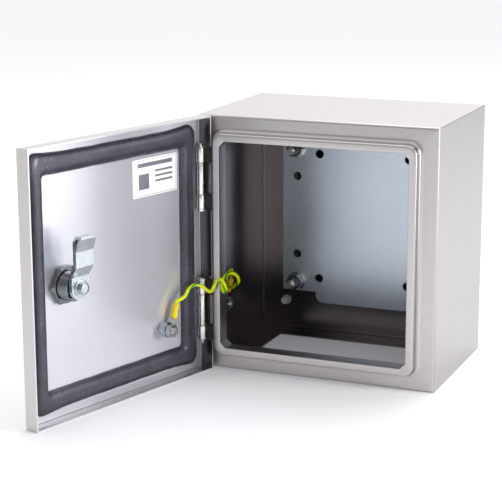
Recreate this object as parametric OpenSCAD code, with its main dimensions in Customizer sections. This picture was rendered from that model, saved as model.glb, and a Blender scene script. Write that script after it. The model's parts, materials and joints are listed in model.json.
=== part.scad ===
// Small wall-mounted switchboard cabinet in brushed stainless steel.
// A welded box with a raised sealing lip, a tray door on two pinned hinges,
// a quarter-turn cam lock, a mounting plate on four studs and an earth lead.
// X is width, +Y points into the wall, +Z is up.
// The origin is the centre of the back face. The door stands open at rest.

/* [Cabinet] */
// Outside width of the cabinet
cabinet_w = 200; // [170:1:320]
// Outside height of the cabinet
cabinet_h = 210; // [180:1:320]
// Depth of the welded body, without the door
body_d = 135; // [110:1:220]
// Thickness of the stainless sheet
sheet = 1.2; // [1:0.1:1.5]
// Outside radius of the bends between front, walls and back
bend_r = 2; // [1.8:0.1:2.6]
// Width of the cable entry cut-out in the floor
entry_w = 144; // [80:1:150]
// Depth of the cable entry cut-out
entry_d = 46; // [30:1:60]
// Distance from the back face to the cut-out
entry_from_back = 27; // [20:1:40]
// Diameter of the four wall fixing holes
wall_hole_d = 6; // [5:0.5:8]
// Distance from the cabinet's side to a wall fixing hole
wall_hole_in_x = 23.5; // [20:0.5:26]
// Distance from the top or bottom to a wall fixing hole
wall_hole_in_z = 25.5; // [22:0.5:32]

/* [Sealing lip] */
// Distance from the cabinet's side to the lip's outer wall
lip_in_x = 15; // [15:0.5:22]
// Distance from the cabinet's top to the lip's outer wall
lip_in_z = 13.5; // [12:0.5:20]
// Width of the lip's flat rim
rim_w = 6.2; // [5:0.1:8]
// Outside radius of the lip's corners
lip_corner_r = 8; // [6:0.5:10]
// Radius of the hollow where the lip rises from the frame
root_r = 4; // [3:0.25:4.5]
// Radius of the lip's front edge
lip_edge_r = 1.8; // [1.5:0.1:2]
// Depth of the return that folds back into the cabinet
return_d = 13.5; // [9:0.5:15]
// Size of the corner cuts inside the return
return_cut = 4.5; // [2:0.5:6]

/* [Door] */
// Depth of the door in front of the frame
door_d = 15; // [14.5:0.1:17]
// Gap between the door's flange and the frame
door_gap = 2.2; // [2:0.1:3]
// Opening angle at rest
door_open = 106; // [0:1:125]
// Width of the seal
seal_w = 16; // [14:0.5:17]
// Height of the pressed seal
seal_h = 4.6; // [3:0.1:4.6]
// Distance from the door's side to the seal
seal_in_x = 10.5; // [10:0.5:11.5]
// Distance from the door's top to the seal
seal_in_z = 8; // [6:0.5:9]
// Outside radius of the seal's corners
seal_corner_r = 9; // [5:0.5:12]
// Clearance between the pressed seal and the lip
seal_gap = 0.3; // [0.2:0.1:0.6]
// Width of the rating label
label_w = 51; // [30:1:60]
// Height of the rating label
label_h = 30; // [20:1:40]

/* [Hinges] */
// Distance from the cabinet's middle to each hinge's middle
hinge_z = 54.5; // [35:0.5:60]
// Distance from the cabinet's side to the hinge axis
hinge_in = 5.4; // [5.3:0.1:5.8]
// Distance from the frame to the hinge axis
hinge_out = 9; // [8.9:0.1:9.2]
// Diameter of a hinge pin
pin_d = 4; // [3:0.1:4.2]
// Outside diameter of the fixed knuckles
knuckle_d = 6.6; // [6:0.1:6.8]
// Length of each fixed knuckle
knuckle_h = 11.6; // [8:0.2:14]
// Outside diameter of the door's barrel
barrel_d = 5.4; // [5.2:0.1:6]
// Length of the door's barrel
barrel_h = 25.8; // [18:0.2:30]

/* [Lock] */
// Distance from the door's free edge to the lock
lock_in = 42.5; // [42:0.5:60]
// Height of the lock above the cabinet's middle
lock_z = -3; // [-20:1:20]
// Diameter of the lock's threaded housing
housing_d = 22; // [18:0.5:22]
// Width across the flats of the lock nut
lock_nut_af = 27; // [25:0.5:30]
// Thickness of the lock nut
lock_nut_h = 5; // [4:0.5:6]
// Distance from the door's sheet to the cam
cam_back = 15; // [14:0.5:15.5]
// Length of the cam from the lock's axis
cam_l = 40; // [30:0.5:40]
// Width of the cam
cam_w = 18; // [14:0.5:18]
// Thickness of the cam
cam_t = 3; // [2:0.25:3]
// Offset of the cam's crank
cam_crank = 5; // [2:0.5:6]

/* [Mounting plate] */
// Width of the mounting plate
plate_w = 147; // [120:1:150]
// Height of the mounting plate
plate_h = 154; // [130:1:160]
// Thickness of the mounting plate
plate_t = 2; // [1.5:0.25:3]
// Gap between the back panel and the mounting plate
standoff = 13.8; // [8:0.2:20]
// Height of the plate's middle above the cabinet's middle
plate_z = 2; // [0:0.5:3]
// Width of the notch in each corner of the plate
notch_w = 30.5; // [20:0.5:32]
// Height of the notch in each corner of the plate
notch_h = 9.5; // [6:0.5:12]
// Distance between the studs across the cabinet
stud_pitch_x = 122; // [100:1:124]
// Distance between the studs up the cabinet
stud_pitch_z = 118; // [100:1:120]
// Diameter of the plate studs
stud_d = 8; // [6:0.5:8]
// Length of a plate stud in front of its washer
stud_free = 13; // [9:0.5:16]
// Diameter of the device holes in the plate
device_hole_d = 7.5; // [5:0.5:8]
// Wide hole group, distance across
wide_x = 121; // [100:1:124]
// Wide hole group, distance up
wide_z = 69; // [50:1:74]
// Tall hole group, distance across
tall_x = 80; // [50:1:84]
// Tall hole group, distance up
tall_z = 110; // [90:1:114]

/* [Earthing] */
// Diameter of the earth studs
earth_d = 6; // [5:0.5:6]
// Distance from the hinge side to the door's earth stud
door_earth_in = 49.5; // [46:0.5:60]
// Height of the door's earth stud above the cabinet's middle
door_earth_z = -61.5; // [-64:0.5:-40]
// Distance from the back face to the body's earth stud
body_earth_back = 98; // [70:0.5:100]
// Height of the body's earth stud above the cabinet's middle
body_earth_z = -60.5; // [-68:0.5:-50]
// Diameter of the earth lead
lead_d = 2.8; // [2:0.1:3]

/* [Hidden] */
$fn = 48;
slide_fit = 0.05;   // radial clearance of pins, studs and the lock's core
side_fit = 0.3;     // end clearance of turning parts
half_w = cabinet_w / 2;
half_h = cabinet_h / 2;
inner_half_w = half_w - sheet;
inner_half_h = half_h - sheet;

// heights here are measured from the back face towards the viewer
door_front = body_d + door_d;
door_inner = door_front - sheet;
seal_face = door_inner - seal_h;
lip_front = seal_face - seal_gap;
lip_d = lip_front - body_d;
door_rim = body_d + door_gap;
lip_half_w = half_w - lip_in_x;
lip_half_h = half_h - lip_in_z;
open_half_w = lip_half_w - rim_w;
open_half_h = lip_half_h - rim_w;

hinge_x = -half_w + hinge_in;
hinge_y = -(body_d + hinge_out);
hinge_len = 2 * knuckle_h + barrel_h + 2 * side_fit;
pin_head_h = 2.2;
pin_head_d = knuckle_d + 0.6;
pin_tip_h = 5;
lug_t = 1.5;
lug_out = lip_d - lip_edge_r - lug_t;
web_t = 2.4;
slot_margin = 1;    // room above and below a knuckle in the door's flange
slot_d = hinge_out - door_gap + 1.2;

lock_x = half_w - lock_in;
head_d = housing_d + 7;
head_h = 3.5;
washer_h = 1;
housing_back = cam_back - 1.5;
core_d = 14;
core_flange_d = core_d + 3;
core_flange_h = 2;
square_w = 8;
bolt_d = 5;
bolt_depth = 8;
cam_hub_r = cam_w / 2;
cam_tip_cut = 3;

earth_nut_af = earth_d + 4;
earth_nut_h = 4.6;
earth_washer_d = 2 * earth_d + 0.5;
earth_washer_h = 1.2;
ring_t = 0.8;
ring_d = earth_d + 5;
neck_l = 9.5;       // from the ring's middle to where the neck bends
sleeve_d = 5.4;
sleeve_l = 12;

stud_tip = sheet + standoff + plate_t + 2 * washer_h + stud_free;
stud_nut_h = 5;
stud_nut_af = stud_d + 5;
stud_washer_d = 2 * stud_d;

// leans of the terminals from upright: towards the hinge on the door,
// towards the back on the body
door_ring_lift = earth_nut_h + earth_washer_h;
door_neck_lean = 48;
door_sleeve_lean = 16;
body_collar_h = 2;
body_ring_lift = body_collar_h + earth_washer_h;
body_lean = 42;

// The lead's route between its two sleeves, with its coil, at rest.
lead_route = [[-98, -170.5, -37.5], [-96, -165.5, -32], [-93, -160, -29.5],
              [-89, -156, -31.5], [-86, -152.5, -35.5], [-83.5, -150, -36.5],
              [-81.5, -148.5, -32], [-78.5, -150, -27.5], [-74.5, -152, -25.5],
              [-71, -153, -28], [-70, -152, -33], [-72.5, -149.5, -36],
              [-76.5, -145.5, -32.5], [-76.2, -140, -26.5], [-73.5, -134, -24],
              [-70.5, -128, -27.5], [-72, -121, -34], [-79.5, -114, -41],
              [-86.5, -108, -43], [-91.5, -102, -40.5], [-93, -95, -35.5],
              [-93, -87, -34]];
lead_sides = 8;
lead_steps = 3;     // rings along each stretch of the route

// ---------------------------------------------------------------- frames

// Local X right, Y up, Z towards the viewer, starting at the back face.
module facing() { rotate([90, 0, 0]) children(); }

// Swings what is drawn on the closed door to the opening angle.
module door_swing() {
    translate([hinge_x, hinge_y, 0]) rotate([0, 0, -door_open])
        translate([-hinge_x, -hinge_y, 0]) children();
}

// The closed door's frame, seen from the inside of the cabinet.
module on_door() { door_swing() facing() children(); }

// Local Z from the door's sheet towards the inside, X towards the hinge, Y up.
module on_door_sheet(x, z) {
    on_door() translate([x, z, door_inner]) rotate([0, 180, 0]) children();
}

// The lock's axis: local Z from the door's sheet towards the inside.
module at_lock() { on_door_sheet(lock_x, lock_z) children(); }

// Local Z from the left wall towards the middle, X towards the back, Y up.
module at_body_earth() {
    translate([-inner_half_w, -body_earth_back, body_earth_z])
        rotate([90, 0, 90]) children();
}

// The four corners of a rectangle in the facing frame.
module at_corners(pitch_x, pitch_z, rise = 0) {
    for (x = [-1, 1], z = [-1, 1])
        translate([x * pitch_x / 2, z * pitch_z / 2 + rise, 0]) children();
}

// ---------------------------------------------------------------- shapes

// A rectangle with round corners, centred.
module round_rect(w, h, r) {
    square([w - 2 * r, h], center = true);
    square([w, h - 2 * r], center = true);
    for (x = [-1, 1], y = [-1, 1])
        translate([x * (w / 2 - r), y * (h / 2 - r)]) circle(r);
}

// A rectangle with its corners cut at 45 degrees, centred.
module cut_rect(w, h, c) {
    polygon([[-w / 2 + c, -h / 2], [w / 2 - c, -h / 2], [w / 2, -h / 2 + c],
             [w / 2, h / 2 - c], [w / 2 - c, h / 2], [-w / 2 + c, h / 2],
             [-w / 2, h / 2 - c], [-w / 2, -h / 2 + c]]);
}

// Outline of a folded sheet box seen from the side: w wide, d deep,
// with its two far corners rounded.
module bent_outline(w, d, r) {
    translate([-w / 2, 0]) square([w, d - r]);
    translate([-w / 2 + r, 0]) square([w - 2 * r, d]);
    for (x = [-1, 1]) translate([x * (w / 2 - r), d - r]) circle(r);
}

// A block from Z = 0 to d whose four far edges are bends of radius r.
module bent_block(w, h, d, r) {
    intersection() {
        rotate([90, 0, 0]) linear_extrude(h + 2, center = true) bent_outline(w, d, r);
        rotate([90, 0, 90]) linear_extrude(w + 2, center = true) bent_outline(h, d, r);
    }
}

module tube(outer_d, inner_d, h) {
    difference() {
        cylinder(h = h, d = outer_d);
        translate([0, 0, -1]) cylinder(h = h + 2, d = inner_d);
    }
}

// A hexagon nut with its corners turned off.
module hex_nut(af, bore_d, h) {
    difference() {
        intersection() {
            cylinder(h = h, d = af / cos(30), $fn = 6);
            cylinder(h = h, d = af * 1.1);
        }
        translate([0, 0, -1]) cylinder(h = h + 2, d = bore_d);
    }
}

// Points of an arc, for outlines.
function arc(cx, cy, r, a0, a1, n = 8) =
    [for (i = [0:n]) let (a = a0 + (a1 - a0) * i / n) [cx + r * cos(a), cy + r * sin(a)]];

// Cross-section of the lip: its wall, front edge and hollow root.
// X is measured from the centre of the lip's corner, Y from the back face.
module lip_section() {
    r = lip_corner_r;
    polygon(concat(
        arc(r + root_r, body_d + root_r, root_r, 270, 180),
        arc(r - lip_edge_r, lip_front - lip_edge_r, lip_edge_r, 0, 90),
        arc(r - lip_edge_r, lip_front - lip_edge_r, lip_edge_r - sheet, 90, 0),
        arc(r + root_r, body_d + root_r, root_r + sheet, 180, 270)));
}

// A ring crimp terminal with its ring flat on Z = 0. Its neck leans from
// +Y towards +X and ends in a round bend.
module ring_terminal(lean) {
    rotate([0, 0, -lean]) difference() {
        union() {
            cylinder(h = ring_t, d = ring_d);
            translate([-lead_d / 2, 0, 0]) cube([lead_d, neck_l, ring_t]);
            translate([0, neck_l, 0]) cylinder(h = ring_t, d = lead_d);
        }
        translate([0, 0, -1]) cylinder(h = ring_t + 2, d = earth_d + 0.4);
    }
}

// The middle of a sleeve, a distance along it, in the terminal's frame.
function sleeve_point(neck_lean, lean, along) =
    [neck_l * sin(neck_lean) + (lead_d / 2 + along) * sin(lean),
     neck_l * cos(neck_lean) + (lead_d / 2 + along) * cos(lean), ring_t / 2];

// The insulating sleeve, which starts where the neck's bend ends.
module terminal_sleeve(neck_lean, lean) {
    translate(sleeve_point(neck_lean, lean, 0)) rotate([0, 0, -lean])
        rotate([-90, 0, 0]) cylinder(h = sleeve_l, d = sleeve_d);
}

// A point on the closed door's inside, carried to the opening angle.
function door_point(p) =
    let (x = -half_w + door_earth_in - p[0] - hinge_x,
         y = -(door_inner - door_ring_lift - p[2]) - hinge_y)
    [hinge_x + x * cos(door_open) + y * sin(door_open),
     hinge_y - x * sin(door_open) + y * cos(door_open), door_earth_z + p[1]];

// A point beside the left wall, from the body's terminal.
function body_point(p) =
    [-inner_half_w + body_ring_lift + p[2], -body_earth_back + p[0], body_earth_z + p[1]];

function unit(v) = v / norm(v);

// One point of a smooth curve through four points, between the middle two.
function smooth(a, b, c, d, t) =
    (2 * b + (c - a) * t + (2 * a - 5 * b + 4 * c - d) * t * t
     + (3 * b - a - 3 * c + d) * t * t * t) / 2;

// A round cord along a list of points, with flat ends.
module cord(points, d) {
    last = len(points) - 1;
    dirs = [for (i = [0:last])
        unit(points[min(i + 1, last)] - points[max(i - 1, 0)])];
    first_side = unit(cross(dirs[0], [0, 0, 1]));
    sides = [for (i = 0, s = first_side; i <= last;
                  i = i + 1, s = i > last ? s : unit(s - (s * dirs[i]) * dirs[i])) s];
    n = lead_sides;
    rings = [for (i = [0:last], k = [0:n - 1])
        let (up = cross(dirs[i], sides[i]), a = 360 * k / n)
        points[i] + d / 2 * (cos(a) * sides[i] + sin(a) * up)];
    walls = [for (i = [0:last - 1], k = [0:n - 1])
        let (m = (k + 1) % n) [i * n + k, (i + 1) * n + k, (i + 1) * n + m, i * n + m]];
    polyhedron(rings, concat(walls, [[for (k = [0:n - 1]) k]],
                             [[for (k = [n - 1:-1:0]) last * n + k]]));
}

// ---------------------------------------------------------------- body

// Back panel, sides, top and floor, folded and welded into one shell.
module body_shell() {
    color([0.78, 0.77, 0.76]) facing() difference() {
        translate([0, 0, body_d]) mirror([0, 0, 1])
            difference() {
                bent_block(cabinet_w, cabinet_h, body_d, bend_r);
                translate([0, 0, -1])
                    bent_block(cabinet_w - 2 * sheet, cabinet_h - 2 * sheet,
                               body_d - sheet + 1, bend_r - sheet);
            }
        translate([-half_w - 1, -half_h - 1, body_d - bend_r])
            cube([cabinet_w + 2, cabinet_h + 2, bend_r + 1]);
        at_wall_holes() translate([0, 0, -1]) cylinder(h = sheet + 2, d = wall_hole_d);
        translate([-entry_w / 2, -half_h - 1, entry_from_back])
            cube([entry_w, sheet + 2, entry_d]);
    }
}

module at_wall_holes() {
    at_corners(cabinet_w - 2 * wall_hole_in_x, cabinet_h - 2 * wall_hole_in_z) children();
}

// Front border, raised lip, flat rim and the return behind it.
module front_frame() {
    color([0.80, 0.79, 0.77]) facing() {
        frame_border();
        lip_wall();
        translate([0, 0, lip_front - sheet]) linear_extrude(sheet) difference() {
            round_rect(2 * (lip_half_w - lip_edge_r), 2 * (lip_half_h - lip_edge_r),
                       lip_corner_r - lip_edge_r);
            cut_rect(2 * open_half_w, 2 * open_half_h, return_cut);
        }
        translate([0, 0, lip_front - return_d]) linear_extrude(return_d) difference() {
            cut_rect(2 * (open_half_w + sheet), 2 * (open_half_h + sheet), return_cut);
            cut_rect(2 * open_half_w, 2 * open_half_h, return_cut);
        }
    }
}

// The flat border with the bend that meets the walls.
module frame_border() {
    difference() {
        bent_block(cabinet_w, cabinet_h, body_d, bend_r);
        translate([0, 0, -1]) bent_block(cabinet_w - 2 * sheet, cabinet_h - 2 * sheet,
                                         body_d - sheet + 1, bend_r - sheet);
        translate([-half_w - 1, -half_h - 1, -1])
            cube([cabinet_w + 2, cabinet_h + 2, body_d - bend_r + 1]);
        translate([0, 0, body_d - bend_r - 1]) linear_extrude(bend_r + 2)
            round_rect(2 * (lip_half_w + root_r), 2 * (lip_half_h + root_r),
                       lip_corner_r + root_r);
    }
}

// The lip's wall, carried round four sides and four corners.
module lip_wall() {
    run_x = lip_half_w - lip_corner_r;
    run_y = lip_half_h - lip_corner_r;
    for (s = [0, 1]) rotate([0, 0, 180 * s]) {
        translate([run_x, 0, 0]) rotate([90, 0, 0])
            linear_extrude(2 * run_y, center = true) lip_section();
        rotate([0, 0, 90]) translate([run_y, 0, 0]) rotate([90, 0, 0])
            linear_extrude(2 * run_x, center = true) lip_section();
        translate([run_x, run_y, 0]) rotate_extrude(angle = 90) lip_section();
        translate([-run_x, run_y, 0]) rotate([0, 0, 90])
            rotate_extrude(angle = 90) lip_section();
    }
}

// Galvanised plate that carries the devices.
module mounting_plate() {
    tab_r = 7;
    color([0.62, 0.67, 0.72]) facing()
        translate([0, plate_z, sheet + standoff]) linear_extrude(plate_t) difference() {
            union() {
                square([plate_w, plate_h - 2 * notch_h], center = true);
                round_rect(plate_w - 2 * notch_w, plate_h, tab_r);
            }
            at_corners(stud_pitch_x, stud_pitch_z) circle(d = stud_d + 0.4);
            at_corners(wide_x, wide_z) circle(d = device_hole_d);
            at_corners(tall_x, tall_z) circle(d = device_hole_d);
        }
}

module at_studs() { at_corners(stud_pitch_x, stud_pitch_z, plate_z) children(); }

// Threaded studs welded to the back panel.
module plate_studs() {
    color([0.72, 0.70, 0.66]) facing() at_studs() translate([0, 0, sheet]) {
        cylinder(h = stud_tip - sheet - 0.6, d = stud_d - 2 * slide_fit);
        translate([0, 0, stud_tip - sheet - 0.6])
            cylinder(h = 0.6, d1 = stud_d - 2 * slide_fit, d2 = stud_d - 1.2);
    }
}

// Tubes that hold the plate off the back panel.
module plate_spacers() {
    color([0.70, 0.70, 0.70]) facing() at_studs() translate([0, 0, sheet])
        tube(stud_d + 5, stud_d + 0.2, standoff);
}

module plate_washers() {
    color([0.80, 0.82, 0.82]) facing() at_studs()
        translate([0, 0, sheet + standoff + plate_t])
            tube(stud_washer_d, stud_d + 0.2, 2 * washer_h);
}

module plate_nuts() {
    color([0.78, 0.80, 0.80]) facing() at_studs()
        translate([0, 0, sheet + standoff + plate_t + 2 * washer_h])
            hex_nut(stud_nut_af, stud_d, stud_nut_h);
}

// Plugs that close the wall fixing holes.
module wall_plugs() {
    collar_d = wall_hole_d + 2.4;
    color([0.94, 0.93, 0.93]) facing() at_wall_holes() {
        cylinder(h = sheet, d = wall_hole_d - 2 * slide_fit);
        translate([0, 0, sheet]) cylinder(h = 1.4, d = collar_d);
        translate([0, 0, sheet + 1.4]) cylinder(h = 5.4, d = wall_hole_d + 0.4);
    }
}

// ---------------------------------------------------------------- hinges

// Draws a hinge part at its height, with Z = 0 at the hinge's lower end.
module at_hinge(level) {
    translate([hinge_x, hinge_y, level * hinge_z - hinge_len / 2]) children();
}

// Two knuckles on arms that are welded to the side of the lip.
module hinge_lugs(level) {
    arm = lip_half_w + hinge_x;   // negative: from the axis to the lip's wall
    color([0.74, 0.73, 0.72]) at_hinge(level)
        for (z = [0, hinge_len - knuckle_h]) translate([0, 0, z]) difference() {
            union() {
                cylinder(h = knuckle_h, d = knuckle_d);
                translate([0, hinge_out - lug_out - lug_t, 0])
                    cube([-arm, lug_t, knuckle_h]);
            }
            translate([0, 0, -1]) cylinder(h = knuckle_h + 2, d = pin_d + 2 * slide_fit);
        }
}

module hinge_lugs_upper() { hinge_lugs(1); }

module hinge_lugs_lower() { hinge_lugs(-1); }

// Pin with a domed head and a tapered tip. The head is on the inner side,
// towards the cabinet's middle.
module hinge_pin() {
    translate([0, 0, -hinge_len / 2 - pin_tip_h + 1.5])
        cylinder(h = pin_tip_h - 1.5, d1 = pin_d - 2, d2 = pin_d);
    translate([0, 0, -hinge_len / 2]) cylinder(h = hinge_len, d = pin_d);
    translate([0, 0, hinge_len / 2]) cylinder(h = pin_head_h / 2, d = pin_head_d);
    translate([0, 0, hinge_len / 2 + pin_head_h / 2])
        cylinder(h = pin_head_h / 2, d1 = pin_head_d, d2 = pin_head_d - 2.4);
}

module hinge_pin_upper() {
    color([0.80, 0.80, 0.79]) translate([hinge_x, hinge_y, hinge_z])
        rotate([180, 0, 0]) hinge_pin();
}

module hinge_pin_lower() {
    color([0.80, 0.80, 0.79]) translate([hinge_x, hinge_y, -hinge_z]) hinge_pin();
}

// The door's barrel on a web and a leaf that is welded to the flange.
module hinge_barrel(level) {
    wall_x = -(hinge_in - sheet);   // inner face of the door's flange
    color([0.76, 0.75, 0.74]) door_swing() at_hinge(level)
        translate([0, 0, knuckle_h + side_fit]) difference() {
            union() {
                cylinder(h = barrel_h, d = barrel_d);
                translate([wall_x, -web_t / 2, 0]) cube([-wall_x, web_t, barrel_h]);
                translate([wall_x, -4, 0]) cube([0.8, 8, barrel_h]);
            }
            translate([0, 0, -1]) cylinder(h = barrel_h + 2, d = pin_d + 2 * slide_fit);
        }
}

module hinge_barrel_upper() { hinge_barrel(1); }

module hinge_barrel_lower() { hinge_barrel(-1); }

// ---------------------------------------------------------------- door

// Tray-shaped door with slots in its hinge flange and the lock's hole.
module door_panel() {
    depth = door_front - door_rim;
    color([0.82, 0.82, 0.84]) on_door() difference() {
        translate([0, 0, door_rim]) bent_block(cabinet_w, cabinet_h, depth, bend_r);
        translate([0, 0, door_rim - 1])
            bent_block(cabinet_w - 2 * sheet, cabinet_h - 2 * sheet,
                       depth - sheet + 1, bend_r - sheet);
        for (level = [-1, 1], z = [0, hinge_len - knuckle_h])
            translate([-half_w - 1, level * hinge_z - hinge_len / 2 + z - slot_margin,
                       door_rim - 1])
                cube([sheet + 2, knuckle_h + 2 * slot_margin, slot_d + 1]);
        translate([lock_x, lock_z, door_inner - 1])
            cylinder(h = sheet + 2, d = housing_d + 0.4);
    }
}

// Foamed seal that presses on the lip's rim.
module door_seal() {
    w = cabinet_w - 2 * seal_in_x;
    h = cabinet_h - 2 * seal_in_z;
    color([0.20, 0.19, 0.24]) on_door() translate([0, 0, seal_face])
        linear_extrude(seal_h) difference() {
            round_rect(w, h, seal_corner_r);
            round_rect(w - 2 * seal_w, h - 2 * seal_w, 3);
        }
}

// Blank rating label near the seal's upper corner.
module door_label() {
    margin = 2.5;
    x = -half_w + seal_in_x + seal_w + margin;
    z = half_h - seal_in_z - seal_w - margin - label_h;
    color([0.96, 0.96, 0.97]) on_door() translate([x, z, door_inner - 0.2])
        cube([label_w, label_h, 0.2]);
}

// ---------------------------------------------------------------- lock

// Flanged housing with a thread, from outside the door to behind the nut.
module lock_housing() {
    color([0.74, 0.75, 0.74]) at_lock() difference() {
        union() {
            translate([0, 0, -sheet - washer_h - head_h]) cylinder(h = head_h, d = head_d);
            translate([0, 0, -sheet - washer_h - 0.5])
                cylinder(h = housing_back + sheet + washer_h + 0.5, d = housing_d);
        }
        translate([0, 0, -sheet - washer_h - head_h - 1])
            cylinder(h = housing_back + sheet + washer_h + head_h + 2,
                     d = core_d + 2 * slide_fit);
        translate([0, 0, -sheet - washer_h - head_h - 1])
            cylinder(h = core_flange_h + 1 + side_fit, d = core_flange_d + 2 * side_fit);
    }
}

module lock_seal() {
    color([0.12, 0.12, 0.13]) at_lock() translate([0, 0, -sheet - washer_h])
        tube(head_d - 1, housing_d + 0.2, washer_h);
}

module lock_nut() {
    color([0.76, 0.78, 0.76]) at_lock()
        hex_nut(lock_nut_af, housing_d + 0.1, lock_nut_h);
}

// Turning core with a two-winged key socket in front and a square behind.
module lock_core() {
    front = -sheet - washer_h - head_h;
    color([0.70, 0.71, 0.70]) at_lock() difference() {
        union() {
            translate([0, 0, front]) cylinder(h = core_flange_h, d = core_flange_d);
            translate([0, 0, front]) cylinder(h = cam_back - front, d = core_d);
            translate([-square_w / 2, -square_w / 2, cam_back])
                cube([square_w, square_w, cam_t]);
        }
        translate([0, 0, front - 1]) difference() {
            cylinder(h = 7, d = 9);
            cylinder(h = 7, d = 5);
        }
        for (a = [0, 180]) rotate([0, 0, a]) translate([0, -1.5, front - 1])
            cube([core_d / 2 - 1, 3, 7]);
        translate([0, 0, cam_back + cam_t - bolt_depth])
            cylinder(h = bolt_depth + 1, d = bolt_d + 2 * slide_fit);
    }
}

// Side view of the cam: hub, crank, flat and a folded tip.
// X is the distance from the lock's axis, Y the distance from the door.
module cam_profile() {
    t = cam_t;
    hub_end = cam_l * 0.25;
    crank_end = cam_l * 0.45;
    tip_start = cam_l * 0.72;
    difference() {
        polygon([[-cam_hub_r, 0], [hub_end, 0], [crank_end, cam_crank], [cam_l, cam_crank],
                 [cam_l, cam_crank + t + 3.6], [cam_l - 1.5, cam_crank + t + 3.6],
                 [tip_start, cam_crank + t], [crank_end - 1, cam_crank + t],
                 [hub_end - 1, t], [-cam_hub_r, t]]);
        polygon([[tip_start + 3.5, cam_crank + t - 0.6], [cam_l - 1.5, cam_crank + t - 0.6],
                 [cam_l - 1.5, cam_crank + t + 2]]);
    }
}

// Cranked cam that swings behind the return of the lip.
module lock_cam() {
    color([0.82, 0.85, 0.86]) at_lock() translate([0, 0, cam_back]) difference() {
        intersection() {
            rotate([90, 0, 90]) linear_extrude(cam_w, center = true) cam_profile();
            translate([0, 0, -1]) linear_extrude(20) union() {
                circle(cam_hub_r);
                polygon([[-cam_w / 2, 0], [cam_w / 2, 0], [cam_w / 2, cam_l - cam_tip_cut],
                         [cam_w / 2 - cam_tip_cut, cam_l], [cam_tip_cut - cam_w / 2, cam_l],
                         [-cam_w / 2, cam_l - cam_tip_cut]]);
            }
        }
        translate([-square_w / 2 - slide_fit, -square_w / 2 - slide_fit, -1])
            cube([square_w + 2 * slide_fit, square_w + 2 * slide_fit, cam_t + 2]);
    }
}

module cam_washer() {
    color([0.80, 0.82, 0.82]) at_lock() translate([0, 0, cam_back + cam_t])
        tube(13, bolt_d + 0.4, washer_h);
}

module cam_bolt() {
    color([0.84, 0.86, 0.88]) at_lock() translate([0, 0, cam_back + cam_t]) {
        translate([0, 0, 1 - bolt_depth]) cylinder(h = bolt_depth + washer_h - 0.5, d = bolt_d);
        translate([0, 0, washer_h]) intersection() {
            cylinder(h = 4, d = 8 / cos(30), $fn = 6);
            cylinder(h = 4, d = 8.9);
        }
    }
}

// ---------------------------------------------------------------- earthing

module at_door_earth() {
    on_door_sheet(-half_w + door_earth_in, door_earth_z) children();
}

module door_earth_stud() {
    tip = door_ring_lift + ring_t + earth_washer_h + earth_nut_h + 2;
    color([0.75, 0.74, 0.72]) at_door_earth() cylinder(h = tip, d = earth_d - 2 * slide_fit);
}

module door_earth_nuts() {
    color([0.78, 0.78, 0.77]) at_door_earth() {
        hex_nut(earth_nut_af, earth_d, earth_nut_h);
        translate([0, 0, door_ring_lift + ring_t + earth_washer_h])
            hex_nut(earth_nut_af, earth_d, earth_nut_h);
    }
}

module door_earth_washers() {
    color([0.84, 0.84, 0.84]) at_door_earth() {
        translate([0, 0, earth_nut_h]) tube(earth_washer_d, earth_d + 0.2, earth_washer_h);
        translate([0, 0, door_ring_lift + ring_t])
            tube(earth_washer_d, earth_d + 0.2, earth_washer_h);
    }
}

module door_earth_terminal() {
    color([0.80, 0.80, 0.80]) at_door_earth() translate([0, 0, door_ring_lift])
        ring_terminal(door_neck_lean);
}

module door_earth_sleeve() {
    color([0.98, 0.85, 0.05]) at_door_earth() translate([0, 0, door_ring_lift])
        terminal_sleeve(door_neck_lean, door_sleeve_lean);
}

module body_earth_stud() {
    tip = body_ring_lift + ring_t + earth_washer_h + earth_nut_h + 1.5;
    color([0.75, 0.74, 0.72]) at_body_earth() {
        cylinder(h = tip, d = earth_d - 2 * slide_fit);
        cylinder(h = body_collar_h, d = earth_d + 2);
    }
}

module body_earth_washers() {
    color([0.84, 0.84, 0.84]) at_body_earth() {
        translate([0, 0, body_collar_h]) tube(earth_washer_d, earth_d + 0.2, earth_washer_h);
        translate([0, 0, body_ring_lift + ring_t])
            tube(earth_washer_d, earth_d + 0.2, earth_washer_h);
    }
}

module body_earth_nut() {
    color([0.78, 0.78, 0.77]) at_body_earth()
        translate([0, 0, body_ring_lift + ring_t + earth_washer_h])
            hex_nut(earth_nut_af, earth_d, earth_nut_h);
}

module body_earth_terminal() {
    color([0.80, 0.80, 0.80]) at_body_earth() translate([0, 0, body_ring_lift])
        ring_terminal(body_lean);
}

module body_earth_sleeve() {
    color([0.98, 0.75, 0.08]) at_body_earth() translate([0, 0, body_ring_lift])
        terminal_sleeve(body_lean, body_lean);
}

// Earth lead between the two sleeves, coiled so that the door can swing.
module earth_lead() {
    starts = [for (l = [sleeve_l, sleeve_l + 2])
        door_point(sleeve_point(door_neck_lean, door_sleeve_lean, l))];
    ends = [for (l = [sleeve_l + 2, sleeve_l])
        body_point(sleeve_point(body_lean, body_lean, l))];
    route = concat([starts[1]], lead_route, [ends[0]]);
    last = len(route) - 1;
    points = [for (i = [0:last - 1], k = [0:lead_steps - 1])
        smooth(route[max(i - 1, 0)], route[i], route[i + 1], route[min(i + 2, last)],
               k / lead_steps)];
    color([0.85, 0.90, 0.05]) cord(concat([starts[0]], points, ends), lead_d);
}

// ---------------------------------------------------------------- assembly

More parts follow.
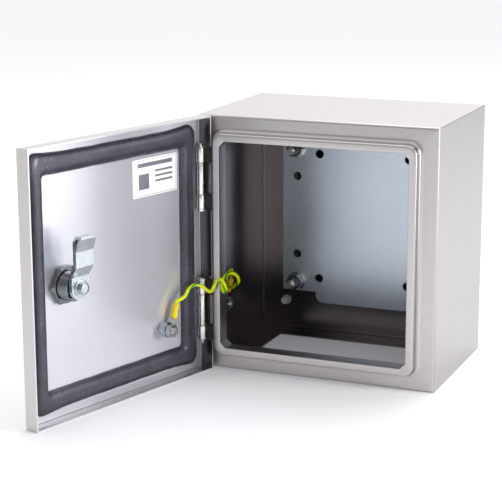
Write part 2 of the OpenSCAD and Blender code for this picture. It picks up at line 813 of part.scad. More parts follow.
body_shell();
front_frame();
mounting_plate();
plate_studs();
plate_spacers();
plate_washers();
plate_nuts();
wall_plugs();
hinge_lugs_upper();
hinge_lugs_lower();
hinge_pin_upper();
hinge_pin_lower();
body_earth_stud();
body_earth_washers();
body_earth_nut();
body_earth_terminal();
body_earth_sleeve();
earth_lead();
door_panel();
door_seal();
door_label();
hinge_barrel_upper();
hinge_barrel_lower();
door_earth_stud();
door_earth_washers();
door_earth_nuts();
door_earth_terminal();
door_earth_sleeve();
lock_housing();
lock_seal();
lock_nut();
lock_core();
lock_cam();
cam_washer();
cam_bolt();
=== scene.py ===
"""Looks for a small stainless steel switchboard cabinet with an open door.

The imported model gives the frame: X is width, +Y points into the wall, +Z is up,
and the origin is the centre of the back panel. Each operator below makes one
piece, or one group of like pieces, and puts it on the body it moves with.
"""

import json
import math

import bmesh
import bpy
import numpy as np
from bpy.props import FloatProperty, FloatVectorProperty, IntProperty, PointerProperty
from mathutils import Matrix, Vector


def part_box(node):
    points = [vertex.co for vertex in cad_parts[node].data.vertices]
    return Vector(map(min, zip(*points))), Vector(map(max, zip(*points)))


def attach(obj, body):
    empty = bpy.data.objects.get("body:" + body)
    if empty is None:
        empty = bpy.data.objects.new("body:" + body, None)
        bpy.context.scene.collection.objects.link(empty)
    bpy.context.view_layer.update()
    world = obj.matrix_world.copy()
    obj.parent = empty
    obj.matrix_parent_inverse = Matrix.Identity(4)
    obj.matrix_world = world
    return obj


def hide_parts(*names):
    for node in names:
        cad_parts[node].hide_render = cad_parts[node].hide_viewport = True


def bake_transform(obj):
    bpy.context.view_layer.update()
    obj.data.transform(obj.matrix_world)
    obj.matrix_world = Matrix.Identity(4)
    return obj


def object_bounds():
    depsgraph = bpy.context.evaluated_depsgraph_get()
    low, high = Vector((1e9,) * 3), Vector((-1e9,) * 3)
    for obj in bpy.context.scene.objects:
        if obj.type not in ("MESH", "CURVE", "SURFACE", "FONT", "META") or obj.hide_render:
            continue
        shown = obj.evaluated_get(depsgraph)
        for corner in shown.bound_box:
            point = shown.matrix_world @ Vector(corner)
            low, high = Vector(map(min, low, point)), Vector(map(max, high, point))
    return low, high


bl_info = {
    "name": "Switchboard Cabinet",
    "version": (1, 0, 0),
    "blender": (4, 5, 0),
    "location": "View3D > Sidebar > Cabinet",
    "description": "Steel shell, door, hinges, lock, fasteners and earth lead of a small cabinet",
    "category": "Object",
}

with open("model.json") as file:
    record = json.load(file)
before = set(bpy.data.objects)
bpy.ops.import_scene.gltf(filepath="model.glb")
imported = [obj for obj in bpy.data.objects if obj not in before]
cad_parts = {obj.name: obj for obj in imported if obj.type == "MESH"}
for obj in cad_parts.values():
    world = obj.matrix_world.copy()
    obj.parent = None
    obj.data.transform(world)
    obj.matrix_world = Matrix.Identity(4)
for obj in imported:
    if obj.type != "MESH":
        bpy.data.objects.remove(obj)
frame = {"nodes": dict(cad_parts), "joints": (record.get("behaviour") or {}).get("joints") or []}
CAD_BOX = [list(corner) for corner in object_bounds()]
NODES = frame["nodes"]
HINGE = next(j for j in frame["joints"] if j["name"] == "door_hinge")
HINGE_AT = np.array(HINGE["pos_m"])
OPEN_ANGLE = -math.radians(HINGE["range_deg"][0])

BODY, DOOR, TURNER = "cabinet", "door", "lock_cam_turner"


# ---------------------------------------------------------------- places


def to_row(points):
    """Turns points given as right, up and distance from the back into the row frame."""
    p = np.asarray(points, float)
    return np.stack([p[..., 0], -p[..., 2], p[..., 1]], axis=-1)


def swing(points, angle):
    """Turns row points about the hinge's upright axis by an angle."""
    p = np.asarray(points, float) - HINGE_AT
    c, s = math.cos(angle), math.sin(angle)
    turned = np.stack([c * p[..., 0] - s * p[..., 1], s * p[..., 0] + c * p[..., 1], p[..., 2]], axis=-1)
    return turned + HINGE_AT


def to_door(points):
    """Like to_row, for a piece drawn on the closed door and swung open with it."""
    return swing(to_row(points), -OPEN_ANGLE)


def vertices(node):
    """The corners of a node's mesh as one array."""
    mesh = NODES[node].data
    co = np.empty(len(mesh.vertices) * 3, np.float32)
    mesh.vertices.foreach_get("co", co)
    return co.reshape(-1, 3).astype(float)


def facing_box(node, on_door=False):
    """Lowest and highest corner of a node as right, up and distance from the back."""
    co = vertices(node)
    if on_door:
        co = swing(co, OPEN_ANGLE)
    co = np.stack([co[:, 0], co[:, 2], -co[:, 1]], axis=1)
    return co.min(0), co.max(0)


def door_axis(node):
    """A node's box on the closed door, the point level with the box's middle in the
    plane of the cabinet's back, and the way into the cabinet. The last two are swung
    open with the door."""
    low, high = facing_box(node, True)
    x, y = (low[:2] + high[:2]) / 2
    at = to_door([x, y, 0.0])
    return low, high, at, to_door([x, y, -1.0]) - at


def spindle(node):
    """Middle, direction and length of a long round node, along its longest spread."""
    co = np.unique(vertices(node).round(6), axis=0)
    centre = co.mean(0)
    direction = np.linalg.svd(co - centre, full_matrices=False)[2][0]
    along = (co - centre) @ direction
    middle = centre + direction * (along.min() + along.max()) / 2
    return middle, direction, along.max() - along.min()


def frame_along(direction):
    """Two directions square to the given one."""
    d = np.asarray(direction, float) / np.linalg.norm(direction)
    helper = np.array([0.0, 0.0, 1.0]) if abs(d[2]) < 0.9 else np.array([1.0, 0.0, 0.0])
    a = np.cross(helper, d)
    a /= np.linalg.norm(a)
    return a, np.cross(d, a), d


# ---------------------------------------------------------------- meshes

# Rows of the mesh in one turn of a thread, and how far a thread is drawn inside its bore.
ROWS_PER_TURN = 8
THREAD_SLACK = 0.00005
# Share of half the width over flats from which a nut's profile is cut to its flats.
FLAT_FROM = 0.999


def grid_faces(rows, columns, wrap_rows, wrap_columns):
    """Quads between neighbouring points of a grid, joined round where it wraps."""
    r = np.arange(rows if wrap_rows else rows - 1)
    c = np.arange(columns if wrap_columns else columns - 1)
    r, c = np.meshgrid(r, c, indexing="ij")
    r2, c2 = (r + 1) % rows, (c + 1) % columns
    corners = [r * columns + c, r * columns + c2, r2 * columns + c2, r2 * columns + c]
    return np.stack(corners, axis=-1).reshape(-1, 4)


def make_piece(name, surfaces, look, body, replaces=(), crease=38, uv=None):
    """One object in one of the finishes, from a list of (grid, wrap rows, wrap columns).
    Doubled points at poles and seams are merged, and the faces of each closed surface
    turned outwards."""
    points, faces, uvs, start = [], [], [], 0
    for grid, wrap_rows, wrap_columns in surfaces:
        rows, columns = grid.shape[:2]
        points.append(grid.reshape(-1, 3))
        faces.append(grid_faces(rows, columns, wrap_rows, wrap_columns) + start)
        start += rows * columns
    mesh = bpy.data.meshes.new(name)
    mesh.from_pydata(np.concatenate(points).tolist(), [], np.concatenate(faces).tolist())
    if uv is not None:
        layer = mesh.uv_layers.new(name="surface")
        corner = np.empty(len(mesh.loops), np.int32)
        mesh.loops.foreach_get("vertex_index", corner)
        layer.data.foreach_set("uv", uv(corner).astype(np.float32).ravel())
    work = bmesh.new()
    work.from_mesh(mesh)
    bmesh.ops.remove_doubles(work, verts=work.verts, dist=1e-7)
    bmesh.ops.dissolve_degenerate(work, edges=work.edges, dist=1e-8)
    bmesh.ops.recalc_face_normals(work, faces=work.faces)
    work.to_mesh(mesh)
    work.free()
    mesh.polygons.foreach_set("use_smooth", np.ones(len(mesh.polygons), bool))
    mesh.set_sharp_from_angle(angle=math.radians(crease))
    piece = bpy.data.objects.new(name, mesh)
    bpy.context.scene.collection.objects.link(piece)
    mesh.materials.append(finish(look))
    if body:
        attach(piece, body)
    if replaces:
        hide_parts(*replaces)
    return piece


def arc(cx, cy, radius, start, end, steps=6):
    """Points on a circle's arc, from one angle in degrees to another."""
    a = np.radians(np.linspace(start, end, steps + 1))
    return np.stack([cx + radius * np.cos(a), cy + radius * np.sin(a)], axis=1)


def loop(half_w, half_h, radius, cut=0.0, steps=6):
    """A closed rectangle path. Each corner is an arc of the radius, or, as cut goes
    from 0 to 1, the straight chord between the arc's ends."""
    t = np.linspace(0.0, 1.0, steps + 1)
    sides = []
    for turn, (sx, sy) in enumerate(((1, 1), (-1, 1), (-1, -1), (1, -1))):
        a = np.radians(90.0 * (turn + t))
        bow = np.stack([np.cos(a), np.sin(a)], axis=1)
        chord = bow[:1] * (1 - t[:, None]) + bow[-1:] * t[:, None]
        middle = np.array([sx * (half_w - radius), sy * (half_h - radius)])
        sides.append(middle + radius * ((1 - cut) * bow + cut * chord))
    return np.concatenate(sides)


def rings(sections, centre=(0.0, 0.0), steps=6):
    """A grid whose rows are rectangle loops, one for each (half width, half height,
    corner radius, cut, distance from the back)."""
    rows = []
    for half_w, half_h, radius, cut, depth in sections:
        path = loop(half_w, half_h, radius, cut, steps) + np.asarray(centre)
        rows.append(np.column_stack([path, np.full(len(path), depth)]))
    return np.stack(rows)


def turned(profile, at, direction, around=48, wave=None):
    """A surface of revolution: (radius, distance along the axis) carried round the
    axis. wave(angle, distance, radius) gives the radius where it isn't round."""
    a, b, d = frame_along(direction)
    profile = np.asarray(profile, float)
    angle = np.linspace(0, 2 * math.pi, around, endpoint=False)
    radius = np.repeat(profile[:, :1], around, axis=1)
    along = np.repeat(profile[:, 1:2], around, axis=1)
    if wave is not None:
        radius = wave(angle[None, :], along, radius)
    c, s = np.cos(angle), np.sin(angle)
    grid = (radius * c)[..., None] * a + (radius * s)[..., None] * b + along[..., None] * d
    return grid + np.asarray(at, float)


def tube_profile(outer, inner, start, end, edge):
    """Profile of a ring or tube with small rounded edges, as a closed loop."""
    return np.concatenate([
        arc(outer - edge, start + edge, edge, -90, 0, 3),
        arc(outer - edge, end - edge, edge, 0, 90, 3),
        arc(inner + edge, end - edge, edge, 90, 180, 3),
        arc(inner + edge, start + edge, edge, 180, 270, 3),
    ])


def screw(pitch, depth, start, end):
    """Radius wave of a thread: a V groove that climbs one pitch each turn and fades
    out near both ends."""
    def wave(angle, along, radius):
        phase = np.mod(along / pitch - angle / (2 * math.pi), 1.0)
        groove = 1 - np.abs(2 * phase - 1)
        fade = np.clip(np.minimum(along - start, end - along) / (0.6 * pitch), 0, 1)
        full = radius > radius.max() * 0.97
        return radius - np.where(full, depth * groove * fade, 0.0)
    return wave


def hexagon(flats, chamfer):
    """Radius wave of a hexagon: the flat sides where the round profile lies outside
    them. Rows of the profile that are smaller stay round, which chamfers the ends."""
    def wave(angle, along, radius):
        side = np.mod(angle, math.pi / 3) - math.pi / 6
        flat = flats / 2 / np.cos(side)
        return np.where(radius > flats / 2 * chamfer, np.minimum(radius, flat), radius)
    return wave


def nut_profile(flats, bore, start, end):
    """Closed profile of a hexagon nut: faces, turned corners and countersunk bore."""
    corner = flats / 2 / math.cos(math.pi / 6)
    face = flats / 2 * 0.96
    drop = (corner - face) * math.tan(math.radians(30))
    sink = 0.12 * (flats / 2 - bore)
    side = flats / 2 * 1.0001
    return np.array([
        [bore + sink, start], [face, start], [side, start + drop * 0.3], [corner, start + drop],
        [corner, end - drop], [side, end - drop * 0.3], [face, end], [bore + sink, end],
        [bore, end - sink], [bore, start + sink],
    ])


def nut(flats, bore, start, end, at, direction, around=72):
    """A hexagon nut on an axis, as a closed surface for make_piece."""
    profile = nut_profile(flats, bore, start, end)
    return turned(profile, at, direction, around, hexagon(flats, FLAT_FROM)), True, True


def tube(outer, inner, start, end, edge, at, direction, around=48):
    """A ring or tube on an axis, as a closed surface for make_piece."""
    return turned(tube_profile(outer, inner, start, end, edge), at, direction, around), True, True


def threaded_rod(radius, pitch, start, end, tip):
    """Profile of a rod with enough rows for its thread and a chamfered end."""
    rows = int((end - tip - start) / pitch * ROWS_PER_TURN) + 2
    along = np.linspace(start, end - tip, rows)
    body = np.stack([np.full(rows, radius), along], axis=1)
    return np.concatenate([[[0, start]], body, [[radius - tip, end], [0, end]]])


def block(low, high, edge):
    """A bar with soft edges: rectangle loops stacked upwards, drawn in by the edge at
    both ends and closed to a point in the middle of each end."""
    low, high = np.asarray(low, float), np.asarray(high, float)
    (hx, hy, _), centre = (high - low) / 2, (high + low) / 2
    point, end, side = (0, 0, 0, 0), (hx - edge, hy - edge, edge * 0.5, 0), (hx, hy, edge, 0)
    sections = [(*point, low[2]), (*end, low[2]), (*side, low[2] + edge),
                (*side, high[2] - edge), (*end, high[2]), (*point, high[2])]
    return rings(sections, centre[:2], 3)


# ---------------------------------------------------------------- materials

# A face counts as facing an axis when this much of its normal lies along it.
FACING = 0.6
# Height of the dark line where the shell's top is folded over its sides.
SEAM = 0.0007
# The door's flange gets a painted shade this far from the hinge's axis.
HINGE_SHADE = 0.035


def tint(colour, strength):
    return tuple(min(1.0, c * strength) for c in colour)


class Nodes:
    """A small helper that adds and links the nodes of one material."""

    def __init__(self, name):
        self.material = bpy.data.materials.new(name)
        self.material.use_nodes = True
        self.tree = self.material.node_tree
        self.shader = self.tree.nodes["Principled BSDF"]

    def add(self, kind, links=None, values=None, **settings):
        """One node: its own settings, the values of its inputs, and their links."""
        node = self.tree.nodes.new(kind)
        for key, value in settings.items():
            setattr(node, key, value)
        for key, value in (values or {}).items():
            node.inputs[key].default_value = value
        for key, output in (links or {}).items():
            self.tree.links.new(output, node.inputs[key])
        return node

    def set(self, **values):
        """Constants on the shader's own sockets."""
        for key, value in values.items():
            self.shader.inputs[key.replace("_", " ")].default_value = value

    def feed(self, **outputs):
        """Outputs linked to the shader's sockets."""
        for key, output in outputs.items():
            self.tree.links.new(output, self.shader.inputs[key.replace("_", " ")])

    def coords(self, scale=(1, 1, 1), turn=0.0, source="Object"):
        """Coordinates turned about the upright axis, then scaled along the turned axes."""
        where = self.add("ShaderNodeTexCoord").outputs[source]
        values = {"Scale": [1.0 / v for v in scale], "Rotation": (0, 0, -turn)}
        return self.add("ShaderNodeMapping", {"Vector": where}, values, vector_type="TEXTURE").outputs["Vector"]

    def split(self, vector):
        """The X, Y and Z of a vector."""
        return self.add("ShaderNodeSeparateXYZ", {"Vector": vector}).outputs

    def noise(self, per_metre, detail, roughness=0.55, turn=0.0):
        """Noise with one scale per metre, or with one for each axis."""
        scale = (per_metre,) * 3 if isinstance(per_metre, int) else per_metre
        values = {"Scale": 1.0, "Detail": detail, "Roughness": roughness}
        return self.add("ShaderNodeTexNoise", {"Vector": self.coords(scale, turn)}, values).outputs["Fac"]

    def shades(self, factor, colour, dark, light, start=0.3, end=0.7):
        """The colour at a strength that goes from dark to light with the factor."""
        node = self.add("ShaderNodeValToRGB", {"Fac": factor})
        for mark, place, strength in zip(node.color_ramp.elements, (start, end), (dark, light)):
            mark.position = place
            mark.color = (*tint(colour, strength), 1.0)
        return node.outputs["Color"]

    def span(self, factor, low, high, start=0.3, end=0.7):
        """Maps a value between start and end to low and high."""
        values = {"From Min": start, "From Max": end, "To Min": low, "To Max": high}
        return self.add("ShaderNodeMapRange", {"Value": factor}, values).outputs["Result"]

    def mix(self, factor, a, b):
        """Blends two colour outputs, or two value outputs, by a factor."""
        return self.add("ShaderNodeMix", {0: factor, 6: a, 7: b}, data_type="RGBA").outputs[2]

    def math(self, operation, a, b=0.0):
        node = self.add("ShaderNodeMath", operation=operation)
        for socket, value in zip(node.inputs, (a, b)):
            if isinstance(value, (int, float)):
                socket.default_value = value
            else:
                self.tree.links.new(value, socket)
        return node.outputs[0]

    def within(self, value, limit):
        """1 where a value lies between minus the limit and the limit."""
        return self.math("LESS_THAN", self.math("ABSOLUTE", value), limit)

    def bump(self, height, strength, distance):
        values = {"Strength": strength, "Distance": distance}
        self.feed(Normal=self.add("ShaderNodeBump", {"Height": height}, values).outputs["Normal"])


def paint_interior_shade(m, colour, interior_shade, side, cloud, tone, gloss):
    """Smoother faces within the shell with a darker tone painted on them, a painted
    shade, and a dark line along the top edge of its sides."""
    place = m.split(m.coords())
    half = sizes().sheet / 2
    inner = m.math("LESS_THAN", place["Y"], -half)
    for axis, limit in (("X", CAD_BOX[1][0]), ("Z", CAD_BOX[1][2])):
        inner = m.math("MULTIPLY", inner, m.within(place[axis], limit - half))
    seam = m.math("MULTIPLY", side, m.math("GREATER_THAN", place["Z"], CAD_BOX[1][2] - SEAM))
    tone = m.mix(seam, tone, m.shades(cloud, colour, 0.25, 0.35))
    # The faces within the shell take the darker colour: painted shade.
    tone = m.mix(inner, tone, m.shades(cloud, interior_shade, 0.92, 1.08))
    return tone, m.mix(inner, gloss, m.span(cloud, 0.17, 0.25))


def door_lining(m, colour, lining, facing, turn, streaks, cloud, tone, gloss):
    """Paler, less metallic film on the face that looks into the closed cabinet, and a
    painted shade on the inner side of the flange beside the hinge."""
    lined = m.math("GREATER_THAN", facing["Y"], FACING)
    tone = m.mix(lined, tone, m.shades(streaks, lining, 0.97, 1.02, 0.25, 0.75))
    hinge = math.cos(turn) * HINGE_AT[0] - math.sin(turn) * HINGE_AT[1]
    near = m.math("LESS_THAN", m.split(m.coords(turn=turn))["X"], hinge + HINGE_SHADE)
    flange = m.math("MULTIPLY", near, m.math("GREATER_THAN", facing["X"], FACING))
    # Painted shade on the inner side of the flange beside the hinge.
    tone = m.mix(flange, tone, m.shades(cloud, colour, 0.20, 0.28))
    m.feed(Metallic=m.span(lined, 1.0, 0.5, 0, 1))
    streaks = m.math("MULTIPLY", streaks, m.span(lined, 1.0, 0.25, 0, 1))
    return tone, m.mix(lined, gloss, m.span(cloud, 0.19, 0.25)), streaks


def brushed_steel(name, colour, turn=0.0, rough=0.30, grain=0.3, inside=None, lining=None):
    """Sheet with fine brushing: noise stretched 400 times along the grain. The grain
    runs across on level and front faces and upright on side faces, and sets
    the bump, the roughness and a faint change of tone. Without a lining the side
    faces are also painted darker, a painted shade. inside is the colour of the
    painted shade within the shell, and lining is the colour of the door's film."""
    m = Nodes(name)
    across = m.noise((9, 3600, 3600), 4.0, turn=turn)
    upright = m.noise((3600, 3600, 9), 4.0, turn=turn)
    normal = m.add("ShaderNodeTexCoord").outputs["Normal"]
    turned_normal = m.add("ShaderNodeMapping", {"Vector": normal}, {"Rotation": (0, 0, turn)})
    facing = m.split(turned_normal.outputs["Vector"])
    if lining is None:
        side = m.math("GREATER_THAN", m.math("ABSOLUTE", facing["X"]), FACING)
    else:
        side = m.within(facing["Z"], FACING)
    streaks = m.mix(side, across, upright)
    cloud = m.noise(9, 2.0)
    tone = m.shades(streaks, colour, 1 - 0.16 * grain, 1 + 0.10 * grain, 0.25, 0.75)
    gloss = m.math("ADD", m.span(streaks, rough - 0.05, rough + 0.09), m.span(cloud, -0.03, 0.03))
    m.set(Metallic=1.0, IOR=1.6)
    if lining is None:
        # Side faces painted darker: a painted shade for how upright brushing catches the light.
        tone = m.mix(side, tone, m.shades(upright, colour, 0.66, 0.76, 0.25, 0.75))
    else:
        tone, gloss, streaks = door_lining(m, colour, lining, facing, turn, streaks, cloud, tone, gloss)
    if inside is not None:
        tone, gloss = paint_interior_shade(m, colour, inside, side, cloud, tone, gloss)
    m.feed(Base_Color=tone, Roughness=gloss)
    m.bump(streaks, 0.2 * grain, 0.00005)
    return m.material


def spangled_zinc(name, colour):
    """Galvanised sheet: cells of slightly different tone and gloss, a few millimetres
    across, under a fine cloudy film."""
    m = Nodes(name)
    cells = m.add("ShaderNodeTexVoronoi", {"Vector": m.coords()}, {"Scale": 420.0}, feature="F1")
    shade = m.add("ShaderNodeRGBToBW", {"Color": cells.outputs["Color"]}).outputs["Val"]
    cloud = m.noise(30, 4.0)
    both = m.math("ADD", m.math("MULTIPLY", shade, 0.45), m.math("MULTIPLY", cloud, 0.55))
    tone = m.shades(both, colour, 0.95, 1.04, 0.25, 0.75)
    m.feed(Base_Color=tone, Roughness=m.span(both, 0.28, 0.36, 0.2, 0.8))
    m.bump(cloud, 0.15, 0.0001)
    m.set(Metallic=0.85, IOR=1.6)
    return m.material


def plated(name, colour, rough=0.2, wear=0.5):
    """Bright plating: tone and gloss change in small soft patches, with turning marks
    too fine to see one by one."""
    m = Nodes(name)
    patches = m.noise(220, 4.0)
    tone = m.shades(patches, colour, 1 - 0.22 * wear, 1.05)
    m.feed(Base_Color=tone, Roughness=m.span(patches, rough - 0.05, rough + 0.12))
    m.bump(m.noise((60, 60, 4000), 2.0), 0.06, 0.00004)
    m.set(Metallic=1.0, IOR=1.6)
    return m.material


def foam_rubber(name, colour):
    """Foamed seal with a skin: cells a millimetre across with a bump, and slow patches
    where the skin is glossier; both are painted paler, a painted glint and sheen."""
    m = Nodes(name)
    cells = m.noise(950, 3.0, 0.7)
    patches = m.noise(60, 3.0)
    both = m.math("ADD", m.math("MULTIPLY", cells, 0.6), m.math("MULTIPLY", patches, 0.4))
    # Paler colour over the cells and patches: painted glints and sheen.
    tone = m.shades(both, colour, 0.6, 2.6, 0.42, 0.62)
    m.feed(Base_Color=tone, Roughness=m.span(patches, 0.50, 0.24, 0.35, 0.65))
    m.bump(cells, 0.55, 0.0007)
    m.set(IOR=1.55, Coat_Weight=0.5, Coat_Roughness=0.2)
    return m.material


def moulded(name, colour, rough=0.4, grain=0.3, soft=0.0):
    """Moulded plastic or rubber: a fine even grain and a slow change of tone."""
    m = Nodes(name)
    slow = m.noise(160, 2.0)
    m.feed(Base_Color=m.shades(slow, colour, 0.93, 1.04), Roughness=m.span(slow, rough - 0.06, rough + 0.08))
    m.bump(m.noise(1500, 3.0), grain, 0.00006)
    m.set(IOR=1.5, Subsurface_Weight=soft, Subsurface_Scale=0.001)
    return m.material


def striped_insulation(name, yellow, green, turns_per_metre=26.0):
    """Glossy cord skin. The stripe covers a fifth of the way round in the tube's own
    UV map, and winds slowly along it."""
    m = Nodes(name)
    spread = m.split(m.coords(source="UV"))
    place = m.math("FRACT", m.math("ADD", spread["X"], m.math("MULTIPLY", spread["Y"], turns_per_metre)))
    stripe = m.span(m.math("ABSOLUTE", m.math("SUBTRACT", place, 0.5)), 1.0, 0.0, 0.09, 0.12)
    film = m.noise(700, 2.0)
    colour = m.mix(stripe, m.shades(film, yellow, 0.95, 1.0), m.shades(film, green, 0.9, 1.0))
    m.feed(Base_Color=colour, Roughness=m.span(film, 0.26, 0.36))
    m.bump(film, 0.08, 0.00005)
    m.set(IOR=1.4)
    return m.material


def printed_film(name, paper, ink, turn, centre):
    """Blank rating film: a thin border, a block and plain bars on a pale ground, laid
    out across and up the door from the film's middle."""
    m = Nodes(name)
    where = m.add("ShaderNodeTexCoord").outputs["Object"]
    values = {"Rotation": (0, 0, turn), "Location": -(Matrix.Rotation(turn, 3, "Z") @ Vector(centre))}
    moved = m.add("ShaderNodeMapping", {"Vector": where}, values, vector_type="POINT")
    place = m.split(moved.outputs["Vector"])

    def bar(across, up, half_w, half_h):
        sides = [m.within(m.math("SUBTRACT", place[axis], middle), half)
                 for axis, middle, half in (("X", across, half_w), ("Z", up, half_h))]
        return m.math("MULTIPLY", *sides)

    marks = m.math("SUBTRACT", bar(0.0, 0.0, 0.0245, 0.0140), bar(0.0, 0.0, 0.0242, 0.0137))
    heading = (0.0, 0.0100, 0.020, 0.0016)
    lines = [(-0.010, up, 0.010, 0.0008) for up in (0.004, 0.000, -0.004)]
    block_mark = (0.013, -0.003, 0.006, 0.006)
    for mark in (heading, *lines, block_mark):
        marks = m.math("MAXIMUM", marks, bar(*mark))
    fine = m.noise(400, 2.0)
    m.feed(Base_Color=m.mix(marks, m.shades(fine, paper, 0.97, 1.0), m.shades(fine, ink, 1.0, 1.1)))
    m.set(Roughness=0.35, IOR=1.5)
    return m.material


# ---------------------------------------------------------------- settings


def length(name, description, metres):
    """A length that shows in the scene's own units."""
    return FloatProperty(name=name, description=description, default=metres, unit="LENGTH")


def colour(name, description, rgb):
    """A base colour."""
    return FloatVectorProperty(name=name, description=description, default=rgb, subtype="COLOR")


class CabinetSizes(bpy.types.PropertyGroup):
    """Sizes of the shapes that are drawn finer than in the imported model."""

    sheet: length("Sheet", "Thickness of the stainless sheet", 0.0012)
    bend: length("Bend radius", "Outside radius of the front bends", 0.002)
    lip_in_x: length("Lip from side", "From the cabinet's side to the lip", 0.015)
    lip_in_z: length("Lip from top", "From the cabinet's top to the lip", 0.0135)
    lip_corner: length("Lip corner", "Outside radius of the lip's corners", 0.008)
    lip_edge: length("Lip edge", "Radius of the lip's front edge", 0.0018)
    root: length("Lip root", "Radius of the hollow at the lip's foot", 0.004)
    rim: length("Rim", "Width of the lip's flat rim", 0.0062)
    return_cut: length("Corner cut", "Cut corners of the opening", 0.0045)
    seal_width: length("Seal width", "Width of the foamed seal", 0.016)
    seal_wave: length("Seal wave", "How far the seal's edges wander", 0.00035)
    seal_bulge: length("Seal corners", "How far the seal swells at its corners", 0.0022)
    seal_narrow: FloatProperty(name="Seal at lock", description="Seal width at the lock's side as a share",
                               default=0.72, subtype="FACTOR")
    stud: length("Plate stud", "Diameter of the plate studs", 0.008)
    stud_pitch: length("Stud thread", "Thread pitch of the plate studs", 0.00125)
    earth_stud: length("Earth stud", "Diameter of the earth studs", 0.006)
    earth_pitch: length("Earth thread", "Thread pitch of the earth studs", 0.001)
    lock_barrel: length("Lock barrel", "Diameter of the lock's threaded housing", 0.022)
    lock_pitch: length("Lock thread", "Thread pitch of the lock's housing", 0.0015)
    hinge_pin: length("Hinge pin", "Diameter of the hinge pins", 0.004)
    hinge_gap: length("Hinge gap", "End clearance of the barrel", 0.0003)
    lead: length("Lead", "Diameter of the earth lead", 0.0028)
    cord_rings: IntProperty(name="Cord rings", description="Rings of the cord for each stretch of its route",
                            default=8)


class CabinetColours(bpy.types.PropertyGroup):
    """Base colours of the finishes."""

    steel: colour("Stainless", "Brushed stainless sheet", (0.60, 0.575, 0.57))
    # Darker tone painted on the shell's inner faces: painted shade.
    interior_shade: colour("Mill finish", "Inside of the shell", (0.25, 0.225, 0.23))
    inner: colour("Door inside", "Inside of the door's sheet", (0.72, 0.72, 0.79))
    zinc: colour("Galvanised", "Mounting plate", (0.66, 0.73, 0.83))
    bright: colour("Bright zinc", "Nuts, washers and cam", (0.70, 0.76, 0.80))
    hinge: colour("Hinge steel", "Hinges and pins", (0.74, 0.72, 0.71))
    seal: colour("Seal", "Foamed seal", (0.017, 0.015, 0.030))
    rubber: colour("Rubber", "Outer seal of the lock", (0.02, 0.02, 0.02))
    nylon: colour("Nylon", "Wall plugs", (0.95, 0.93, 0.93))
    sleeve: colour("Sleeve", "Crimp sleeves", (0.98, 0.72, 0.004))
    yellow: colour("Lead yellow", "Earth lead", (0.86, 0.96, 0.001))
    green: colour("Lead green", "Earth lead's stripe", (0.03, 0.36, 0.006))
    paper: colour("Film", "Ground of the rating film", (0.97, 0.97, 0.97))
    ink: colour("Ink", "Bars of the rating film", (0.16, 0.16, 0.20))


def sizes():
    return bpy.context.scene.cabinet_sizes


FINISHES = {}


def finish(key):
    """The named finish, made once and shared by the pieces that have it."""
    c = bpy.context.scene.cabinet_colours
    make = {
        "steel": lambda: brushed_steel("stainless", c.steel),
        # The shell's inner faces take the painted interior shade.
        "shell": lambda: brushed_steel("stainless_shell", c.steel, inside=c.interior_shade),
        "door": lambda: brushed_steel("stainless_door", c.steel, OPEN_ANGLE, 0.22, 0.12, lining=c.inner),
        "zinc": lambda: spangled_zinc("galvanised", c.zinc),
        "bright": lambda: plated("bright_zinc", tint(c.bright, 0.85), 0.13, 1.0),
        "cam": lambda: plated("cam_zinc", tint(c.bright, 0.85), 0.22),
        "hinge": lambda: plated("hinge_steel", tint(c.hinge, 1.2), 0.2),
        # Near-black arms, webs and leaves of the hinges: a painted shade in the gap round the barrels.
        "arm": lambda: plated("hinge_arm_steel", tint(c.hinge, 0.07), 0.45),
        "stud": lambda: plated("stud_steel", tint(c.hinge, 0.9), 0.28),
        "lock": lambda: plated("lock_zinc", tint(c.bright, 0.30), 0.18, 0.9),
        "tin": lambda: plated("tinned_copper", c.hinge, 0.32),
        "nylon": lambda: moulded("white_nylon", c.nylon, 0.38, 0.15, 0.1),
        "rubber": lambda: moulded("black_rubber", c.rubber, 0.6, 0.5),
        "sleeve": lambda: moulded("sleeve_pvc", c.sleeve, 0.42, 0.2),
        "seal": lambda: foam_rubber("seal_foam", c.seal),
        "lead": lambda: striped_insulation("lead_pvc", c.yellow, c.green),
        "film": lambda: printed_film("rating_film", c.paper, c.ink, OPEN_ANGLE, vertices("door_label").mean(0)),
    }
    if key not in FINISHES:
        FINISHES[key] = make[key]()
    return FINISHES[key]


def repaint(node, key):
    """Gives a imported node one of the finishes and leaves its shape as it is."""
    materials = NODES[node].data.materials
    materials.clear()
    materials.append(finish(key))


# ---------------------------------------------------------------- stage

CAMERA_AT = (0.438, -1.3109, 0.2987)
CAMERA_AZIMUTH, CAMERA_ELEVATION, CAMERA_ROLL = 22.74, 13.35, -0.19
CAMERA_LENS, CAMERA_SENSOR = 116.66, 36.0
FLOOR_HALF = 9.0
# Axis, where the light starts to change and where it ends, and its strength at both.
WORLD_SHADES = (("Y", -0.70, 0.35, 0.42, 1.12), ("Z", 0.35, 0.9, 0.0, 0.85))
# Name, place, aim, width, height, watts and spread in degrees.
LIGHT_PANELS = (
    ("panel_above", (0.1, 0.9, 1.4), (0.05, 0.35, -0.1), 1.4, 1.4, 5.5, 120),
    ("panel_right", (1.5, 0.0, 0.35), (-0.12, -0.24, 0.0), 0.35, 0.8, 12.0, 160),
)


